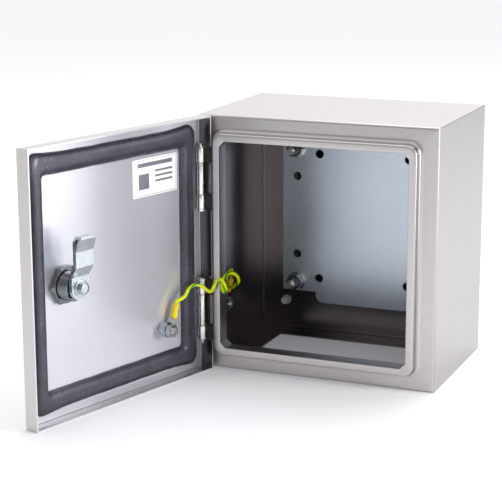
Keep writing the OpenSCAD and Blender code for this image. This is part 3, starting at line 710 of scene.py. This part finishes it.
class CABINET_OT_stage(bpy.types.Operator):
    """Pale floor, soft studio light and the camera"""

    bl_idname = "cabinet.stage"
    bl_label = "Stage and camera"

    def execute(self, context):
        scene = context.scene
        scene.view_settings.view_transform = "Standard"
        self.camera(scene)
        self.floor(scene)
        self.lights(scene)
        return {"FINISHED"}

    def camera(self, scene):
        """The camera looks down a little from the right. Its roll is under a degree."""
        azimuth, elevation, roll = (math.radians(a) for a in (CAMERA_AZIMUTH, CAMERA_ELEVATION, CAMERA_ROLL))
        level = math.cos(elevation)
        back = Vector((math.sin(azimuth) * level, -math.cos(azimuth) * level, math.sin(elevation)))
        right = (-back).cross(Vector((0, 0, 1))).normalized()
        up = right.cross(-back)
        c, s = math.cos(roll), math.sin(roll)
        right, up = c * right + s * up, c * up - s * right
        data = bpy.data.cameras.new("camera")
        data.sensor_width = CAMERA_SENSOR
        data.lens = CAMERA_LENS
        data.clip_start, data.clip_end = 0.05, 50.0
        camera = bpy.data.objects.new("camera", data)
        turn = Matrix((right, up, back)).transposed()
        camera.matrix_world = Matrix.Translation(CAMERA_AT) @ turn.to_4x4()
        scene.collection.objects.link(camera)
        scene.camera = camera

    def floor(self, scene):
        """A flat level sheet under the cabinet, out to the horizon."""
        r, low = FLOOR_HALF, CAD_BOX[0][2]
        corners = [(-r, -r, low), (r, -r, low), (r, r, low), (-r, r, low)]
        mesh = bpy.data.meshes.new("floor")
        mesh.from_pydata(corners, [], [(0, 1, 2, 3)])
        floor = bpy.data.objects.new("floor", mesh)
        scene.collection.objects.link(floor)
        m = Nodes("pale_floor")
        m.set(Base_Color=(0.92, 0.92, 0.93, 1), Roughness=0.9, IOR=1.2)
        m.set(Emission_Color=(0.92, 0.92, 1, 1), Emission_Strength=0.12)
        mesh.materials.append(m.material)

    def lights(self, scene):
        """Even light that is bright above and behind and dim in front, and two panels."""
        world = bpy.data.worlds.new("studio")
        scene.world = world
        world.use_nodes = True
        tree = world.node_tree
        background = tree.nodes["Background"]
        where = tree.nodes.new("ShaderNodeTexCoord")
        split = tree.nodes.new("ShaderNodeSeparateXYZ")
        tree.links.new(where.outputs["Generated"], split.inputs["Vector"])
        shades = []
        for axis, *ends in WORLD_SHADES:
            shade = tree.nodes.new("ShaderNodeMapRange")
            shade.interpolation_type = "SMOOTHSTEP"
            tree.links.new(split.outputs[axis], shade.inputs["Value"])
            for socket, value in zip(("From Min", "From Max", "To Min", "To Max"), ends):
                shade.inputs[socket].default_value = value
            shades.append(shade.outputs["Result"])
        most = tree.nodes.new("ShaderNodeMath")
        most.operation = "MAXIMUM"
        tree.links.new(shades[0], most.inputs[0])
        tree.links.new(shades[1], most.inputs[1])
        tree.links.new(most.outputs[0], background.inputs["Strength"])
        background.inputs["Color"].default_value = (1, 1, 1, 1)
        for name, at, aim, wide, tall, power, spread in LIGHT_PANELS:
            data = bpy.data.lights.new(name, "AREA")
            data.shape = "RECTANGLE"
            data.size, data.size_y = wide, tall
            data.energy = power
            data.spread = math.radians(spread)
            light = bpy.data.objects.new(name, data)
            light.location = at
            light.rotation_euler = (Vector(aim) - Vector(at)).to_track_quat("-Z", "Y").to_euler()
            scene.collection.objects.link(light)


# ---------------------------------------------------------------- earth lead


def smooth_route(route, steps):
    """A smooth curve through the route's points: between each two, the cubic whose
    slopes at them are half the way from the point before to the point after."""
    r = np.asarray(route, float)
    padded = np.concatenate([r[:1], r, r[-1:]])
    a, b, c, d = padded[:-3, None], padded[1:-2, None], padded[2:-1, None], padded[3:, None]
    t = np.linspace(0, 1, steps, endpoint=False)[None, :, None]
    curve = (2 * b + (c - a) * t + (2 * a - 5 * b + 4 * c - d) * t**2 + (3 * b - a - 3 * c + d) * t**3) / 2
    return np.concatenate([curve.reshape(-1, 3), r[-1:]])


def tube_along(path, radius, around=16):
    """A round tube along a path. Each ring lies square to the path, and its zero
    angle is carried from ring to ring without turning."""
    path = np.asarray(path, float)
    step = np.gradient(path, axis=0)
    step /= np.linalg.norm(step, axis=1, keepdims=True)
    side = np.empty_like(path)
    current = np.cross(step[0], [0.0, 0.0, 1.0])
    for i, direction in enumerate(step):
        current = current - direction * (current @ direction)
        current /= np.linalg.norm(current)
        side[i] = current
    up = np.cross(step, side)
    angle = np.linspace(0, 2 * math.pi, around + 1)
    c, s = np.cos(angle)[None, :, None], np.sin(angle)[None, :, None]
    return path[:, None] + radius * (c * side[:, None] + s * up[:, None])


def sleeve_end(node, towards):
    """The end of a crimp sleeve that is nearer to a point, and the way out of it."""
    middle, direction, length = spindle(node)
    if (np.asarray(towards) - middle) @ direction < 0:
        direction = -direction
    return middle + direction * length / 2, direction


class CABINET_OT_earth_lead(bpy.types.Operator):
    """Green and yellow lead with its coil, from the door's sleeve to the body's"""

    bl_idname = "cabinet.earth_lead"
    bl_label = "Earth lead"

    ROUTE = np.array([
        [-98, -170.5, -37.5], [-96, -165.5, -32], [-93, -160, -29.5],
        [-89, -156, -31.5], [-86, -152.5, -35.5], [-83.5, -150, -36.5],
        [-81.5, -148.5, -32], [-78.5, -150, -27.5], [-74.5, -152, -25.5],
        [-71, -153, -28], [-70, -152, -33], [-72.5, -149.5, -36],
        [-76.5, -145.5, -32.5], [-76.2, -140, -26.5], [-73.5, -134, -24],
        [-70.5, -128, -27.5], [-72, -121, -34], [-79.5, -114, -41],
        [-86.5, -108, -43], [-91.5, -102, -40.5], [-93, -95, -35.5],
        [-93, -87, -34],
    ]) / 1000.0
    # Straight out from the front: loops near the door swing in when it shuts.
    BLEND_START = (-0.085, -0.143, -0.033)
    BLEND_END = (-0.085, -0.169, -0.033)

    def execute(self, context):
        s = sizes()
        start, out_start = sleeve_end("door_earth_sleeve", self.ROUTE[0])
        end, out_end = sleeve_end("body_earth_sleeve", self.ROUTE[-1])
        bends = np.concatenate([[start + out_start * 0.002], self.ROUTE, [end + out_end * 0.002]])
        path = np.concatenate([[start], smooth_route(bends, s.cord_rings), [end]])
        grid = tube_along(path, s.lead / 2)
        around = grid.shape[1]
        along = np.concatenate([[0], np.cumsum(np.linalg.norm(np.diff(path, axis=0), axis=1))])
        caps = [np.stack([np.tile(path[i], (around, 1)), grid[i]]) for i in (0, -1)]
        rows = np.concatenate([along, [0.0] * 2, [along[-1]] * 2])
        uv = np.column_stack([np.tile(np.linspace(0, 1, around), len(rows)), np.repeat(rows, around)])
        lead = make_piece("earth_lead_cord", [(part, False, False) for part in (grid, *caps)],
                          "lead", None, (), 60, lambda corner: uv[corner])
        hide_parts("earth_lead")
        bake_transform(lead)
        return {"FINISHED"}


# ---------------------------------------------------------------- body


class CABINET_OT_front_frame(bpy.types.Operator):
    """Front border, hollow root, raised lip, rim and return as one folded ring"""

    bl_idname = "cabinet.front_frame"
    bl_label = "Front frame"

    def execute(self, context):
        s = sizes()
        low, high = facing_box("front_frame")
        w, h, front, rear = high[0], high[1], high[2], low[2]
        face = facing_box("body_shell")[1][2] + s.bend
        sheet = s.sheet
        lip_w, lip_h = w - s.lip_in_x, h - s.lip_in_z
        open_w, open_h = lip_w - s.rim, lip_h - s.rim
        edge = 0.0004
        rows = []

        def add(profile, base_w, base_h, radius_from):
            """Profile points are (outward offset from the base sizes, depth)."""
            for offset, depth in profile:
                rows.append((base_w + offset, base_h + offset, max(edge, radius_from + offset), 0.0, depth))

        add(arc(-s.bend, face - s.bend, s.bend, 0, 90, 8), w, h, -1)
        add(arc(s.root, face + s.root, s.root, 270, 180, 10), lip_w, lip_h, s.lip_corner)
        add(arc(-s.lip_edge, front - s.lip_edge, s.lip_edge, 0, 90, 8), lip_w, lip_h, s.lip_corner)
        cut = s.return_cut
        rows += [(open_w + edge - o, open_h + edge - o, cut + edge - o, 1.0, front - edge + d)
                 for o, d in arc(0, 0, edge, 90, 0, 3)]
        rows += [(open_w, open_h, cut, 1.0, rear), (open_w + sheet, open_h + sheet, cut, 1.0, rear),
                 (open_w + sheet, open_h + sheet, cut, 1.0, front - sheet)]
        inner_edge = s.lip_edge - sheet
        add(arc(-s.lip_edge, front - s.lip_edge, inner_edge, 90, 0, 3), lip_w, lip_h, s.lip_corner)
        add(arc(s.root, face + s.root, s.root + sheet, 180, 270, 8), lip_w, lip_h, s.lip_corner)
        add(arc(-s.bend, face - s.bend, s.bend - sheet, 90, 0, 3), w, h, -1)
        grid = to_row(rings(rows, steps=8))
        make_piece("front_frame_fold", [(grid, True, True)], "steel", BODY, ["front_frame"])
        return {"FINISHED"}


class CABINET_OT_shell(bpy.types.Operator):
    """Brushed finish of the folded shell, galvanised finish of the mounting plate"""

    bl_idname = "cabinet.shell"
    bl_label = "Shell and plate"

    def execute(self, context):
        # The shell's finish holds a painted shade on its inner faces.
        repaint("body_shell", "shell")
        repaint("mounting_plate", "zinc")
        return {"FINISHED"}


class CABINET_OT_plate_fasteners(bpy.types.Operator):
    """Studs with threads, spacers, flanged washers and hexagon nuts of the plate"""

    bl_idname = "cabinet.plate_fasteners"
    bl_label = "Plate fasteners"

    def execute(self, context):
        s = sizes()
        low, high = facing_box("plate_studs")
        r = s.stud / 2
        xs, ys = (low[0] + r, high[0] - r), (low[1] + r, high[1] - r)
        places = [(x, y) for x in xs for y in ys]
        foot, tip = low[2], high[2]
        (rings_low, rings_high), (nuts_low, nuts_high) = facing_box("plate_washers"), facing_box("plate_nuts")
        pitch = ys[1] - ys[0]
        flats = nuts_high[1] - nuts_low[1] - pitch
        wide = (rings_high[1] - rings_low[1] - pitch) / 2
        middle = (rings_low[2] + rings_high[2]) / 2
        out = to_row([0, 0, 1])
        rod = threaded_rod(r - THREAD_SLACK, s.stud_pitch, foot, tip, 0.0006)
        thread = screw(s.stud_pitch, 0.00055, foot + 0.010, tip)
        rods, discs, nuts = [], [], []
        for x, y in places:
            at = to_row([x, y, 0])
            rods.append((turned(rod, at, out, 32, thread), False, True))
            discs.append(tube(wide, r + 0.0001, rings_low[2], middle - 0.00004, 0.0002, at, out))
            discs.append(tube(wide * 0.87, r + 0.0001, middle, rings_high[2], 0.0003, at, out))
            nuts.append(nut(flats, r, nuts_low[2], nuts_high[2], at, out))
        make_piece("plate_stud_threads", rods, "stud", BODY, ["plate_studs"], 50)
        make_piece("plate_washer_pairs", discs, "bright", BODY, ["plate_washers"])
        make_piece("plate_nut_hexagons", nuts, "bright", BODY, ["plate_nuts"], 30)
        repaint("plate_spacers", "bright")
        return {"FINISHED"}


class CABINET_OT_wall_plugs(bpy.types.Operator):
    """White plugs that close the wall fixing holes"""

    bl_idname = "cabinet.wall_plugs"
    bl_label = "Wall plugs"

    def execute(self, context):
        low, high = facing_box("wall_plugs")
        collar = 0.0042
        xs, ys = (low[0] + collar, high[0] - collar), (low[1] + collar, high[1] - collar)
        sheet = sizes().sheet
        dome = high[2]
        profile = np.concatenate([
            [[0, 0.00005], [0.00295, 0.00005], [0.00295, sheet], [collar, sheet]],
            arc(collar - 0.0006, sheet + 0.0008, 0.0006, 0, 90, 4),
            arc(0.0032 - 0.0012, dome - 0.0012, 0.0012, 0, 90, 5),
            [[0, dome]],
        ])
        feet = [to_row([x, y, 0]) for x in xs for y in ys]
        plugs = [(turned(profile, foot, to_row([0, 0, 1]), 32), False, True) for foot in feet]
        make_piece("wall_plug_caps", plugs, "nylon", BODY, ["wall_plugs"])
        return {"FINISHED"}


# ---------------------------------------------------------------- hinges


class CABINET_OT_hinges(bpy.types.Operator):
    """Knuckles on arms, barrels on webs and leaves, and pins with domed heads"""

    bl_idname = "cabinet.hinges"
    bl_label = "Hinges"

    def execute(self, context):
        for level in ("upper", "lower"):
            self.knuckles(level)
            self.barrel(level)
            self.pin(level)
        return {"FINISHED"}

    AXIS = np.array([HINGE_AT[0], HINGE_AT[1], 0.0])

    def bore(self):
        """Radius of the hole for the pin, with the clearance it turns in."""
        return sizes().hinge_pin / 2 + 0.0001

    def knuckles(self, level):
        """Two short tubes round the hinge's axis, each on a thin flat arm."""
        low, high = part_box(f"hinge_lugs_{level}")
        radius = HINGE_AT[0] - low[0]
        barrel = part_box(f"hinge_barrel_{level}")
        gap = sizes().hinge_gap
        tubes, arms = [], []
        for z0, z1 in ((low[2], barrel[0][2] - gap), (barrel[1][2] + gap, high[2])):
            tubes.append(tube(radius, self.bore(), z0, z1, 0.0004, self.AXIS, (0, 0, 1), 40))
            arm = block((self.AXIS[0] + 0.0025, high[1] - 0.0015, z0), (high[0], high[1], z1), 0.0003)
            arms.append((arm, False, True))
        make_piece(f"hinge_knuckles_{level}", tubes, "hinge", BODY, [f"hinge_lugs_{level}"])
        # The arm finish is near black, a painted shade.
        make_piece(f"hinge_arms_{level}", arms, "arm", BODY)

    def barrel(self, level):
        """The door's tube, drawn with the door shut and swung open with it."""
        low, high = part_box(f"hinge_barrel_{level}")
        x, y, _ = self.AXIS
        z0, z1 = low[2], high[2]
        shut = swing(vertices(f"hinge_barrel_{level}"), OPEN_ANGLE)[:, 0]
        wall, radius = shut.min(), shut.max() - x
        profile = tube_profile(radius, self.bore(), z0, z1, 0.0003)
        round_part = swing(turned(profile, self.AXIS, (0, 0, 1), 40), -OPEN_ANGLE)
        web = block((wall, y - 0.0012, z0), (x - 0.0022, y + 0.0012, z1), 0.0003)
        leaf = block((wall, y - 0.004, z0), (wall + 0.0008, y + 0.004, z1), 0.0002)
        make_piece(f"hinge_barrel_{level}_tube", [(round_part, True, True)], "hinge", DOOR,
                   [f"hinge_barrel_{level}"])
        flat_parts = [(swing(part, -OPEN_ANGLE), False, True) for part in (web, leaf)]
        # The arm finish is near black, a painted shade.
        make_piece(f"hinge_leaf_{level}", flat_parts, "arm", DOOR)

    def pin(self, level):
        """A shaft with a tapered tip and a head that is a low dome."""
        low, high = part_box(f"hinge_pin_{level}")
        flip = 1 if level == "lower" else -1
        at = np.array([HINGE_AT[0], HINGE_AT[1], (low[2] + high[2]) / 2])
        half = (high[2] - low[2]) / 2
        head_r = (high[0] - low[0]) / 2
        head, pin = 0.0022, sizes().hinge_pin / 2
        dome = np.concatenate([[[head_r - 0.0002, half - head], [head_r, half - head + 0.0002]],
                               arc(head_r - 0.0012, half - 0.0012, 0.0012, 0, 90, 6)])
        profile = np.concatenate([
            [[0, -half], [0.0008, -half], [0.001, -half + 0.0002], [pin, -half + 0.0035], [pin, half - head]],
            dome, [[0, half]],
        ])
        make_piece(f"hinge_pin_{level}_round", [(turned(profile, at, (0, 0, flip), 40), False, True)],
                   "hinge", BODY, [f"hinge_pin_{level}"])


# ---------------------------------------------------------------- door


class CABINET_OT_door(bpy.types.Operator):
    """Brushed finish of the door's tray, and its blank rating film"""

    bl_idname = "cabinet.door"
    bl_label = "Door tray and film"

    def execute(self, context):
        repaint("door_panel", "door")
        low, high = facing_box("door_label", True)
        half_w, half_h = (high[:2] - low[:2]) / 2
        centre = (high[:2] + low[:2]) / 2
        under, over = high[2], low[2]
        shares = ((1e-3, under), (1, under), (1, over + 0.00006), (0.994, over), (1e-3, over))
        rows = [(half_w * k, half_h * k, 0.0012 * k + 1e-6, 0.0, depth) for k, depth in shares]
        sheet = to_door(rings(rows, centre))
        make_piece("rating_film", [(sheet, False, True)], "film", DOOR, ["door_label"], 30)
        return {"FINISHED"}


class CABINET_OT_seal(bpy.types.Operator):
    """Foamed bead round the door"""

    bl_idname = "cabinet.seal"
    bl_label = "Door seal"

    def execute(self, context):
        """The bead's section is a low dome: height is the square root of 1 - |x| to
        the power 2.2. Its edges wander with a sum of slow sine waves."""
        s = sizes()
        low, high = facing_box("door_seal", True)
        half_w, half_h = (high[:2] - low[:2]) / 2
        centre = (high[:2] + low[:2]) / 2
        base, top = high[2], low[2]
        x = np.concatenate([[-1.0], -np.cos(np.linspace(0.10, math.pi - 0.10, 19)), [1.0]])
        height = (1 - np.abs(x) ** 2.2) ** 0.5
        height = height * (1 - 0.05 * np.exp(-((x / 0.35) ** 2)))
        height /= height.max()
        inset = s.seal_width * (x + 1) / 2
        narrow = s.seal_narrow
        rows = [(half_w - i * (1 + narrow) / 2, half_h - i, 0.009 * (1 - k) + 0.003 * k, 0.0,
                 base + (top - base) * z) for i, k, z in zip(inset, (x + 1) / 2, height)]
        sparse = rings(rows, centre, steps=8)
        sparse[:, :, 0] += (inset * (1 - narrow) / 2)[:, None]
        grid = self.refine(sparse)
        around = np.linspace(0, 2 * math.pi, grid.shape[1], endpoint=False)
        corner = np.abs(grid[0, :, 0] - centre[0]) / half_w + np.abs(grid[0, :, 1] - centre[1]) / half_h
        bulge = s.seal_bulge * np.clip((corner - 1.55) / 0.35, 0, 1) ** 2
        side = np.sign(grid[0, :, :2] - centre)
        outer = np.clip(1 - (x + 1) / 1.2, 0, 1)[:, None, None]
        grid[:, :, :2] += outer * (bulge[:, None] * side)[None]
        wander = 0.5 * np.sin(9 * around + 0.6) + 0.3 * np.sin(23 * around + 2.0) + 0.2 * np.sin(41 * around)
        outward = grid[:, :, :2] - grid[10:11, :, :2]
        size = np.linalg.norm(outward, axis=-1, keepdims=True)
        inward = np.where(size > 1e-6, outward / np.maximum(size, 1e-6), 0.0)
        free = (1 - height)[:, None, None]
        grid[:, :, :2] -= inward * np.abs(wander)[None, :, None] * s.seal_wave * (0.3 + 0.7 * free)
        make_piece("door_seal_bead", [(to_door(grid), True, True)], "seal", DOOR, ["door_seal"], 80)
        return {"FINISHED"}

    def refine(self, sparse, parts=24):
        """Adds points along the straight sides, which are the long steps of a row."""
        step = np.linalg.norm(np.roll(sparse[0], -1, axis=0) - sparse[0], axis=1)
        pieces = []
        for i, length in enumerate(step):
            n = parts if length > 0.02 else 1
            t = np.linspace(0, 1, n, endpoint=False)[None, :, None]
            a, b = sparse[:, i : i + 1], np.roll(sparse, -1, axis=1)[:, i : i + 1]
            pieces.append(a * (1 - t) + b * t)
        return np.concatenate(pieces, axis=1)


# ---------------------------------------------------------------- lock


class CABINET_OT_lock(bpy.types.Operator):
    """Threaded housing, hexagon nut and outer seal of the quarter-turn lock"""

    bl_idname = "cabinet.lock"
    bl_label = "Lock"

    def execute(self, context):
        s = sizes()
        low, high, at, inwards = door_axis("lock_nut")
        shell_low, shell_high = facing_box("lock_housing", True)
        head_r = (shell_high[0] - shell_low[0]) / 2
        barrel, bore = s.lock_barrel / 2, 0.00705
        back, front = -shell_low[2], -shell_high[2]
        ring = nut(high[1] - low[1], barrel + THREAD_SLACK, -high[2], -low[2], at, inwards, 96)
        make_piece("lock_nut_hexagon", [ring], "lock", DOOR, ["lock_nut"], 30)
        rows = int((back - front) / s.lock_pitch * ROWS_PER_TURN)
        along = np.linspace(front + 0.0035, back - 0.0005, rows)
        outline = np.concatenate([
            [[bore + 0.0018, front + 0.0004], [head_r - 0.0015, front]],
            arc(head_r - 0.0015, front + 0.0015, 0.0015, -90, 0, 5)[1:],
            [[head_r, front + 0.0035]],
            np.stack([np.full(rows, barrel), along], axis=1),
            [[barrel - 0.0005, back], [bore, back], [bore, front + 0.0024], [bore + 0.0018, front + 0.0023]],
        ])

        groove = screw(s.lock_pitch, 0.0007, -high[2], back)

        def thread(angle, distance, radius):
            on_barrel = np.abs(radius - barrel) < 1e-9
            return np.where(on_barrel, groove(angle, distance, np.where(on_barrel, barrel, 0)), radius)

        make_piece("lock_housing_thread", [(turned(outline, at, inwards, 64, thread), True, True)],
                   "lock", DOOR, ["lock_housing"], 50)
        repaint("lock_seal", "rubber")
        repaint("lock_core", "lock")
        return {"FINISHED"}


class CABINET_OT_cam(bpy.types.Operator):
    """Cranked cam, its washer and bolt"""

    bl_idname = "cabinet.cam"
    bl_label = "Cam, washer and bolt"

    def execute(self, context):
        repaint("lock_cam", "cam")
        low, high, at, inwards = door_axis("cam_washer")
        seat = -low[2]
        ring = tube((high[0] - low[0]) / 2, 0.0031, -high[2], seat, 0.0003, at, inwards)
        make_piece("cam_washer_ring", [ring], "bright", TURNER, ["cam_washer"])
        flats, shank, corner, depth = 0.008, 0.0024, 0.0046, 0.006
        side, top = flats / 2 + 0.00001, seat + 0.004
        profile = np.array([
            [0, seat - depth], [shank, seat - depth], [shank, seat], [0.0039, seat],
            [side, seat + 0.0002], [corner, seat + 0.0004], [corner, top - 0.0005], [side, top - 0.0001],
            [0.0038, top], [0.0026, top], [0.0023, top - 0.0003], [0, top - 0.0003],
        ])
        bolt = turned(profile, at, inwards, 72, hexagon(flats, FLAT_FROM))
        make_piece("cam_bolt_hexagon", [(bolt, False, True)], "bright", TURNER, ["cam_bolt"], 30)
        return {"FINISHED"}


# ---------------------------------------------------------------- earthing


class CABINET_OT_earthing(bpy.types.Operator):
    """Earth studs with threads, nuts, washers, ring terminals and crimp sleeves"""

    bl_idname = "cabinet.earthing"
    bl_label = "Earth studs and terminals"

    def execute(self, context):
        places = (("door", DOOR, "door_earth_nuts"), ("body", BODY, "body_earth_nut"))
        for place, body, nut_node in places:
            repaint(f"{place}_earth_terminal", "tin")
            repaint(f"{place}_earth_washers", "bright")
            self.stack(place, body, nut_node)
        for place, body, _ in places:
            self.sleeve(place, body)
        return {"FINISHED"}

    def axis(self, place):
        """The stud's axis: its foot on the sheet, the way out of it, and its length."""
        if place == "door":
            low, high, at, inwards = door_axis("door_earth_stud")
            return at - high[2] * inwards, inwards, high[2] - low[2]
        low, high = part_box("body_earth_stud")
        foot = np.array([low[0], (low[1] + high[1]) / 2, (low[2] + high[2]) / 2])
        return foot, np.array([1.0, 0.0, 0.0]), high[0] - low[0]

    def stack(self, place, body, nut_node):
        """The threaded stud, with a weld collar on the body, and one or two nuts."""
        s = sizes()
        foot, out, stud_length = self.axis(place)
        r = s.earth_stud / 2
        rod = threaded_rod(r - THREAD_SLACK, s.earth_pitch, 0.0, stud_length, 0.0005)
        parts = [(turned(rod, foot, out, 28, screw(s.earth_pitch, 0.00045, 0.001, stud_length)), False, True)]
        if place == "body":
            parts.append(tube(r + 0.001, r - 0.0001, 0.0, 0.002, 0.0003, foot, out, 32))
        make_piece(f"{place}_earth_stud_thread", parts, "stud", body, [f"{place}_earth_stud"], 50)
        along = (vertices(nut_node) - foot) @ out
        flats, thick = s.earth_stud + 0.004, 0.0046
        starts = sorted({round(float(v), 5) for v in (along.min(), along.max() - thick)})
        nuts = [nut(flats, r, start, start + thick, foot, out) for start in starts]
        make_piece(f"{place}_earth_nut_hexagons", nuts, "bright", body, [nut_node], 30)

    def sleeve(self, place, body):
        """A soft sleeve: a cylinder with rounded ends and a slight waist where the
        crimp has pressed it."""
        middle, direction, length = spindle(f"{place}_earth_sleeve")
        half, radius = length / 2, 0.0027
        along = np.linspace(-half + 0.0006, half - 0.0006, 20)
        waist = radius - 0.00028 * np.exp(-((along / 0.0022) ** 2))
        profile = np.concatenate([
            [[0, -half], [radius - 0.0006, -half]], np.stack([waist, along], axis=1),
            [[radius - 0.0006, half], [0, half]],
        ])
        make_piece(f"{place}_earth_sleeve_soft", [(turned(profile, middle, direction, 32), False, True)],
                   "sleeve", body, [f"{place}_earth_sleeve"], 50)


# ---------------------------------------------------------------- panel


class CABINET_PT_panel(bpy.types.Panel):
    """Lists the cabinet's pieces"""

    bl_idname = "CABINET_PT_panel"
    bl_label = "Switchboard cabinet"
    bl_space_type = "VIEW_3D"
    bl_region_type = "UI"
    bl_category = "Cabinet"

    def draw(self, context):
        for operator in OPERATORS:
            self.layout.operator(operator.bl_idname)
        for group in (context.scene.cabinet_sizes, context.scene.cabinet_colours):
            box = self.layout.box()
            for name in group.__annotations__:
                box.prop(group, name)


OPERATORS = (
    CABINET_OT_stage,
    CABINET_OT_earth_lead,
    CABINET_OT_shell,
    CABINET_OT_front_frame,
    CABINET_OT_plate_fasteners,
    CABINET_OT_wall_plugs,
    CABINET_OT_hinges,
    CABINET_OT_door,
    CABINET_OT_seal,
    CABINET_OT_lock,
    CABINET_OT_cam,
    CABINET_OT_earthing,
)
CLASSES = (CabinetSizes, CabinetColours, *OPERATORS, CABINET_PT_panel)


def register():
    for cls in CLASSES:
        bpy.utils.register_class(cls)
    bpy.types.Scene.cabinet_sizes = PointerProperty(type=CabinetSizes)
    bpy.types.Scene.cabinet_colours = PointerProperty(type=CabinetColours)


def unregister():
    del bpy.types.Scene.cabinet_colours
    del bpy.types.Scene.cabinet_sizes
    for cls in reversed(CLASSES):
        bpy.utils.unregister_class(cls)


def main():
    register()
    for operator in OPERATORS:
        group, name = operator.bl_idname.split(".")
        getattr(getattr(bpy.ops, group), name)()


if __name__ == "__main__":
    main()
